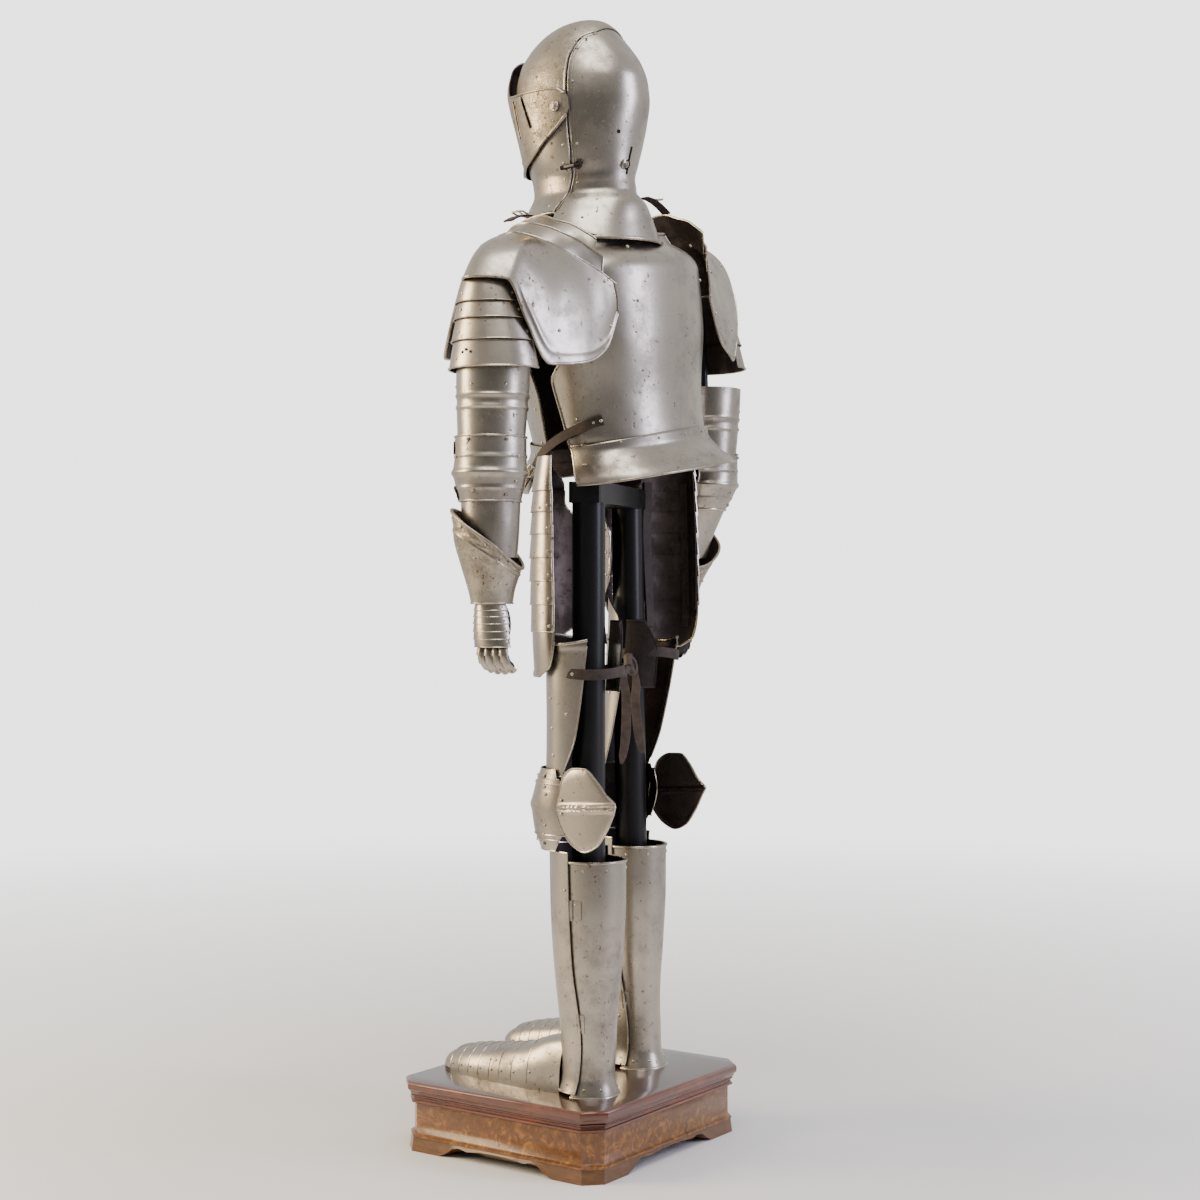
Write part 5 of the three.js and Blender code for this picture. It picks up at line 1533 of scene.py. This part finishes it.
def visorTrim():
    work = Work()
    lower, upper = smoothLine(visorLook["lower"], 80), smoothLine(visorLook["upper"], 70)
    for side in (1, -1):
        for line, size in ((lower, 2.6), (upper, 1.9)):
            work.tube(onVisor(line, side, visorLift + 0.2), size, 10)
        for topY, top, lowY, low, width in visorLook["sights"]:
            for shift in (-1.0, width + 1.0):
                line = [(topY + (lowY - topY) * t + shift, top + (low - top) * t)
                        for t in np.linspace(0, 1, 12)]
                work.tube(onVisor(line, side, visorLift - 0.1), 0.6, 6)
        work.rivets(visorForm, [(z, side * visorAngle(y, z)) for y, z in visorLook["rivets"]], visorLift - 0.3,
                    2.2)
    return work


visorGrid = plateGrid(visorForm, edges((-98, -112, 112), (128, -112, 112)), (90, 120), (visorLift, visorLift),
                      relief=lambda z, a: 0.5 * helmDents(z, a) - 0.4)
sightCuts = [("DIFFERENCE", sideBlock([(lowY, low), (lowY + wide, low), (topY + wide, top), (topY, top)]))
             for topY, top, lowY, low, wide in visorLook["sights"]]
show("visor", Work().sheet(visorGrid, 1.8), ["visor"], group=inHelmet, skins=etchedSkins, body="visor",
     cuts=[("INTERSECT", sideBlock(visorLook["edge"])), ("DIFFERENCE", pivotHole), *sightCuts],
     extra=visorTrim())


stud = {
    "x": 100.2, "petals": 8, "petalRing": 6.3, "petal": 1.5,
    # radius, and how far from x
    "profile": ((pivot["shank"], -6), (pivot["shank"], 8), (pivot["head"], 8), (pivot["head"] + 0.2, 9),
                (pivot["head"] - 0.4, 9.8), (5.4, 10.2), (5.0, 11.4), (3.4, 12.3), (0.02, 12.6)),
}


def pivotStud(side):
    work = Work().lathe([(radius, stud["x"] + rise) for radius, rise in stud["profile"]],
                        (0, pivot["y"], pivot["z"]), (side, 0, 0), 28)
    for turn in np.linspace(0, 2 * math.pi, stud["petals"], endpoint=False):
        y, z = pivot["y"] + stud["petalRing"] * math.cos(turn), pivot["z"] + stud["petalRing"] * math.sin(turn)
        work.rivet((side * (stud["x"] + 10.0), y, z), (side, 0, 0), stud["petal"], 0.5, 8)
    return work


show("visorPivotLeft", pivotStud(1), ["visor_pivot_left"], group=inHelmet)
show("visorPivotRight", pivotStud(-1), ["visor_pivot_right"], group=inHelmet)
print("helmet ready")


# the stand

post = {"radius": 27, "left": (112, 112), "right": (-105, 54), "rightTop": -14, "top": 1110, "collars": (1, 14),
        "bar": 34}


def standFrame():
    work = Work()
    for (x, y), over in ((post["left"], 0), (post["right"], post["rightTop"])):
        work.tube([(x, y + over * t, deck + (post["top"] - deck) * t) for t in np.linspace(0, 1, 40)],
                  post["radius"], 40, mark=outerFace)
        for rise in post["collars"]:
            collar = [(post["radius"] + r, z) for r, z in ((-2, -1), (1.6, 0), (1.6, 4), (-2, 5))]
            work.lathe(collar, (x, y, deck + rise), (0, 0, 1), 40, outerFace)
    left, right = np.array(post["left"], float), np.array(post["right"], float) + (0, post["rightTop"])
    along = unit(left - right)
    side = np.array([along[1], -along[0]])
    centre = (left + right) / 2
    half, wide = np.linalg.norm(left - right) / 2 + post["radius"], post["radius"]
    corners = [centre + along * half * a + side * wide * b for a, b in ((-1, -1), (1, -1), (1, 1), (-1, 1))]
    top = post["top"] + 1
    return work.block(roundedLine(corners, 6, 5), top - post["bar"], top, outerFace)


board = {
    "thick": 24, "foot": -30,
    "side": [(142, -6), (150, 20), (160, 120), (166, 205), (138, 262), (124, 326), (96, 368), (48, 388)],
    "neck": [(0, 0, 370), (2, -4, 440), (4, -16, 560), (4, -22, 650)], "neckRadius": 12,
}
paintSkins = (standPaint, standPaint, standPaint, boardPaint, shadeAndBlack)


def standTorso():
    outline = [(-board["side"][0][0], board["foot"]), *board["side"],
               *[(-x, z) for x, z in board["side"][:0:-1]]]
    work = Work().block(roundedLine(outline, 12, 4), -board["thick"] / 2, board["thick"] / 2, extraFace)
    work = work.moved(lambda p: p[:, [0, 2, 1]])
    return work.tube(smoothLine(board["neck"], 40), board["neckRadius"], 24, mark=outerFace)


rodY = waist["y"] + board["thick"] / 2 + 9 + 0.6
armRod = {
    "radius": 9,
    "line": [(310, 67, 930), (317, 70, 1118), (316, 74, 1300), (300, 84, 1400), (235, rodY, 1440),
             (120, rodY, 1462),
             (0, rodY, 1470), (-110, rodY, 1474), (-205, rodY, 1462), (-272, 84, 1415), (-290, 80, 1310),
             (-296, 78, 1140), (-294, 38, 1020), (-287, 20, 945)],
}
show("standFrame", standFrame(), ["stand_frame"], skins=paintSkins)
show("standTorso", standTorso(), ["stand_torso"], group=inBody, skins=paintSkins)
show("standArmRod", Work().tube(smoothLine(armRod["line"], 200), armRod["radius"], 18, mark=outerFace),
     ["stand_arm_rod"], skins=paintSkins)


# the straps

leatherSkins = (darkLeather, darkLeather, edgeSteel, tanLeather, shadeAndBlack)


def buckle(work, at, out, along, wide, tall):
    # a plain frame with a tongue
    out, along = unit(np.asarray(out, float)), unit(np.asarray(along, float))
    across = np.cross(out, along)
    corners = [(-0.5, -0.5), (0.5, -0.5), (0.5, 0.5), (-0.5, 0.5)]
    flat = roundedLine([(a * wide, b * tall) for a, b in corners], 3, 4)
    frame = np.asarray(at) + flat[:, :1] * across + flat[:, 1:] * along + out * 1.6
    work.tube(frame, 1.7, 8, closed=True)
    tongue = np.asarray(at) + np.linspace(-0.5, 0.62, 8)[:, None] * along * tall + out * 2.8
    work.tube(tongue, 1.2, 8)
    return work


belt = {
    "line": [(156, 62, 84), (171, 36, 77), (177, -12, 60), (170, -54, 38), (178, -76, 8), (192, -90, -20)],
    "facing": [(0.8, 0.6, 0), (0.95, 0.3, 0), (1, -0.1, 0), (1, -0.3, 0), (1, -0.4, 0.2), (1, -0.4, 0.3)],
    "width": 16, "thick": 2.6,
    "rivets": (((158.5, 60, 83), (0.8, 0.6, 0), 3.0), ((164.5, 49, 81), (0.85, 0.5, 0), 2.6)),
    "buckle": ((179.6, -74, 9), (1, -0.4, 0.2), (0.3, -0.5, -0.8), 21, 17),
}


def waistStrap():
    work = Work().strap(belt["line"], belt["facing"], belt["width"], belt["thick"], 70, outerFace)
    for at, out, radius in belt["rivets"]:
        work.rivet(at, out, radius)
    return buckle(work, *belt["buckle"])


show("waistStrap", waistStrap(), ["waist_strap"], group=inBody, skins=leatherSkins)


neckStrap = {
    "line": [(196, 10, 1536), (174, 9, 1546), (150, 9, 1552), (128, 9, 1553)],
    "facing": [(0.2, 0, 1), (0, 0, 1), (-0.2, 0, 1), (-0.3, 0, 1)], "width": 18, "thick": 2.6,
    "buckle": ((162, 9, 1551.5), (-0.2, 0, 1), (1, 0, 0.2), 22, 16),
}


def shoulderStrap():
    work = Work().strap(neckStrap["line"], neckStrap["facing"], neckStrap["width"], neckStrap["thick"], 30,
                        outerFace)
    return buckle(work, *neckStrap["buckle"])


showPair("shoulderStrap", shoulderStrap(), "shoulder_strap", steady(60, 92, 54), skins=leatherSkins)


thong = {
    "wide": 17, "thick": 2.4, "sag": 4,
    # side, centre, reach, height, and from which angle to which in what steps
    "left": (1, (113, 100), (62, 72), 803, (88, 286, 14)),
    "right": (-1, (113, 62), (60, 70), 827, (92, 286, 14)),
    # the right one ends in a knot, with its two tails hanging
    "knot": [(-44, 86, 826), (-34, 92, 812), (-36, 98, 796), (-46, 98, 800), (-48, 92, 816), (-38, 86, 824),
             (-30, 92, 808)],
    "tails": ([(-30, 97, 806), (-6, 99, 790), (-17, 98, 755), (-17, 97, 690), (-6, 96, 643)],
              [(-44, 97, 804), (-46, 99, 775), (-45, 98, 745), (-57, 97, 690), (-69, 96, 657)]),
    "tailWide": 15, "tailThick": 2.2, "taper": ((0, 0.5), (0.25, 0.95), (0.75, 1.1), (0.93, 0.85), (1, 0.3)),
}


def thighStrap(side, centre, reach, height, spans):
    # the leather that ties a thigh's plates round the post
    line, facing = [], []
    for angle in np.radians(np.arange(*spans)):
        line.append((side * (centre[0] + reach[0] * math.sin(angle)), centre[1] - reach[1] * math.cos(angle),
                     height + thong["sag"] * math.sin(2 * angle)))
        facing.append((side * math.sin(angle), -math.cos(angle), 0))
    return Work().strap(line, facing, thong["wide"], thong["thick"], 70, outerFace)


def rightThighStrap():
    work = thighStrap(*thong["right"])
    work.tube(smoothLine(thong["knot"], 60), 6.0, 12, mark=extraFace, flat=0.7)
    for line in thong["tails"]:
        work.strap(line, [(0.8, 0.6, 0)] * len(line), thong["tailWide"], thong["tailThick"], 60, extraFace,
                   thong["taper"])
    return work


show("thighStrapLeft", thighStrap(*thong["left"]), skins=leatherSkins)
show("thighStrapRight", rightThighStrap(), skins=leatherSkins)
print("stand and straps ready")


# floor, light and camera

studio = bpy.data.worlds.new("studio")
studio.use_nodes = True
bpy.context.scene.world = studio
sky, background = Nodes(studio.node_tree), studio.node_tree.nodes["Background"]
aim = sky.node("VectorMath", {"operation": "DOT_PRODUCT"},
               {0: sky.node("TexCoord", out="Generated"), 1: (0.78, 0.55, -0.3)}, out="Value")
stops = [(at, (tone, tone * 0.985, tone * 0.98)) for at, tone in ((0.0, 0.85), (1.0, 0.15))]
sky.feed(background.inputs["Color"], sky.node("ValToRGB", {"stops": stops}, {"Fac": aim * 0.62 + 0.42}))
sky.feed(background.inputs["Strength"], sky.node("LightPath", out="Is Camera Ray") * 2.4 + 1.0)

floorMesh = bpy.data.meshes.new("floor")
floorMesh.from_pydata([(-14, -14, 0), (14, -14, 0), (14, 14, 0), (-14, 14, 0)], [], [(0, 1, 2, 3)])
floorFinish = Finish("floorPaint", Roughness=0.7, Base_Color=colour(0.80, 0.79, 0.78))
reach = floorFinish.node("VectorMath", {"operation": "LENGTH"}, {"Vector": floorFinish.node("NewGeometry")},
                         out="Value")
floorFinish.paint(Alpha=1 - reach.above(2.6, 1.9))  # it thins out before the horizon
floorMesh.materials.append(floorFinish.material)
floor = bpy.data.objects.new("floor", floorMesh)
bpy.context.scene.collection.objects.link(floor)


def softLight(name, at, aim, size, power, tint):
    lamp = bpy.data.lights.new(name, "AREA")
    lamp.shape, lamp.size, lamp.size_y = "RECTANGLE", size[0], size[1]
    lamp.energy, lamp.color = power, tint
    made = bpy.data.objects.new(name, lamp)
    made.location = at
    made.rotation_euler = (Vector(aim) - Vector(at)).to_track_quat("-Z", "Y").to_euler()
    bpy.context.scene.collection.objects.link(made)


softLight("warmSide", (2.4, -2.6, 2.2), (0, 0, 0.9), (1.6, 2.8), 180, (1.0, 0.79, 0.50))
softLight("coolSide", (-1.2, 3.4, 2.2), (0, 0, 1.0), (1.2, 2.8), 95, (0.76, 0.76, 1.0))
softLight("overhead", (1.2, 0.9, 4.2), (0, 0, 1.0), (2.2, 2.2), 95, (1.0, 0.97, 0.93))

camera = bpy.data.objects.new("camera", bpy.data.cameras.new("camera"))
camera.data.lens, camera.data.sensor_width = 59.7, 36
camera.data.clip_end = 100
camera.location = (2.750, 1.973, 0.919)
camera.rotation_euler = Vector((-0.819, -0.574, 0)).to_track_quat("-Z", "Y").to_euler()
bpy.context.scene.collection.objects.link(camera)
bpy.context.scene.camera = camera
print("floor, light and camera ready")
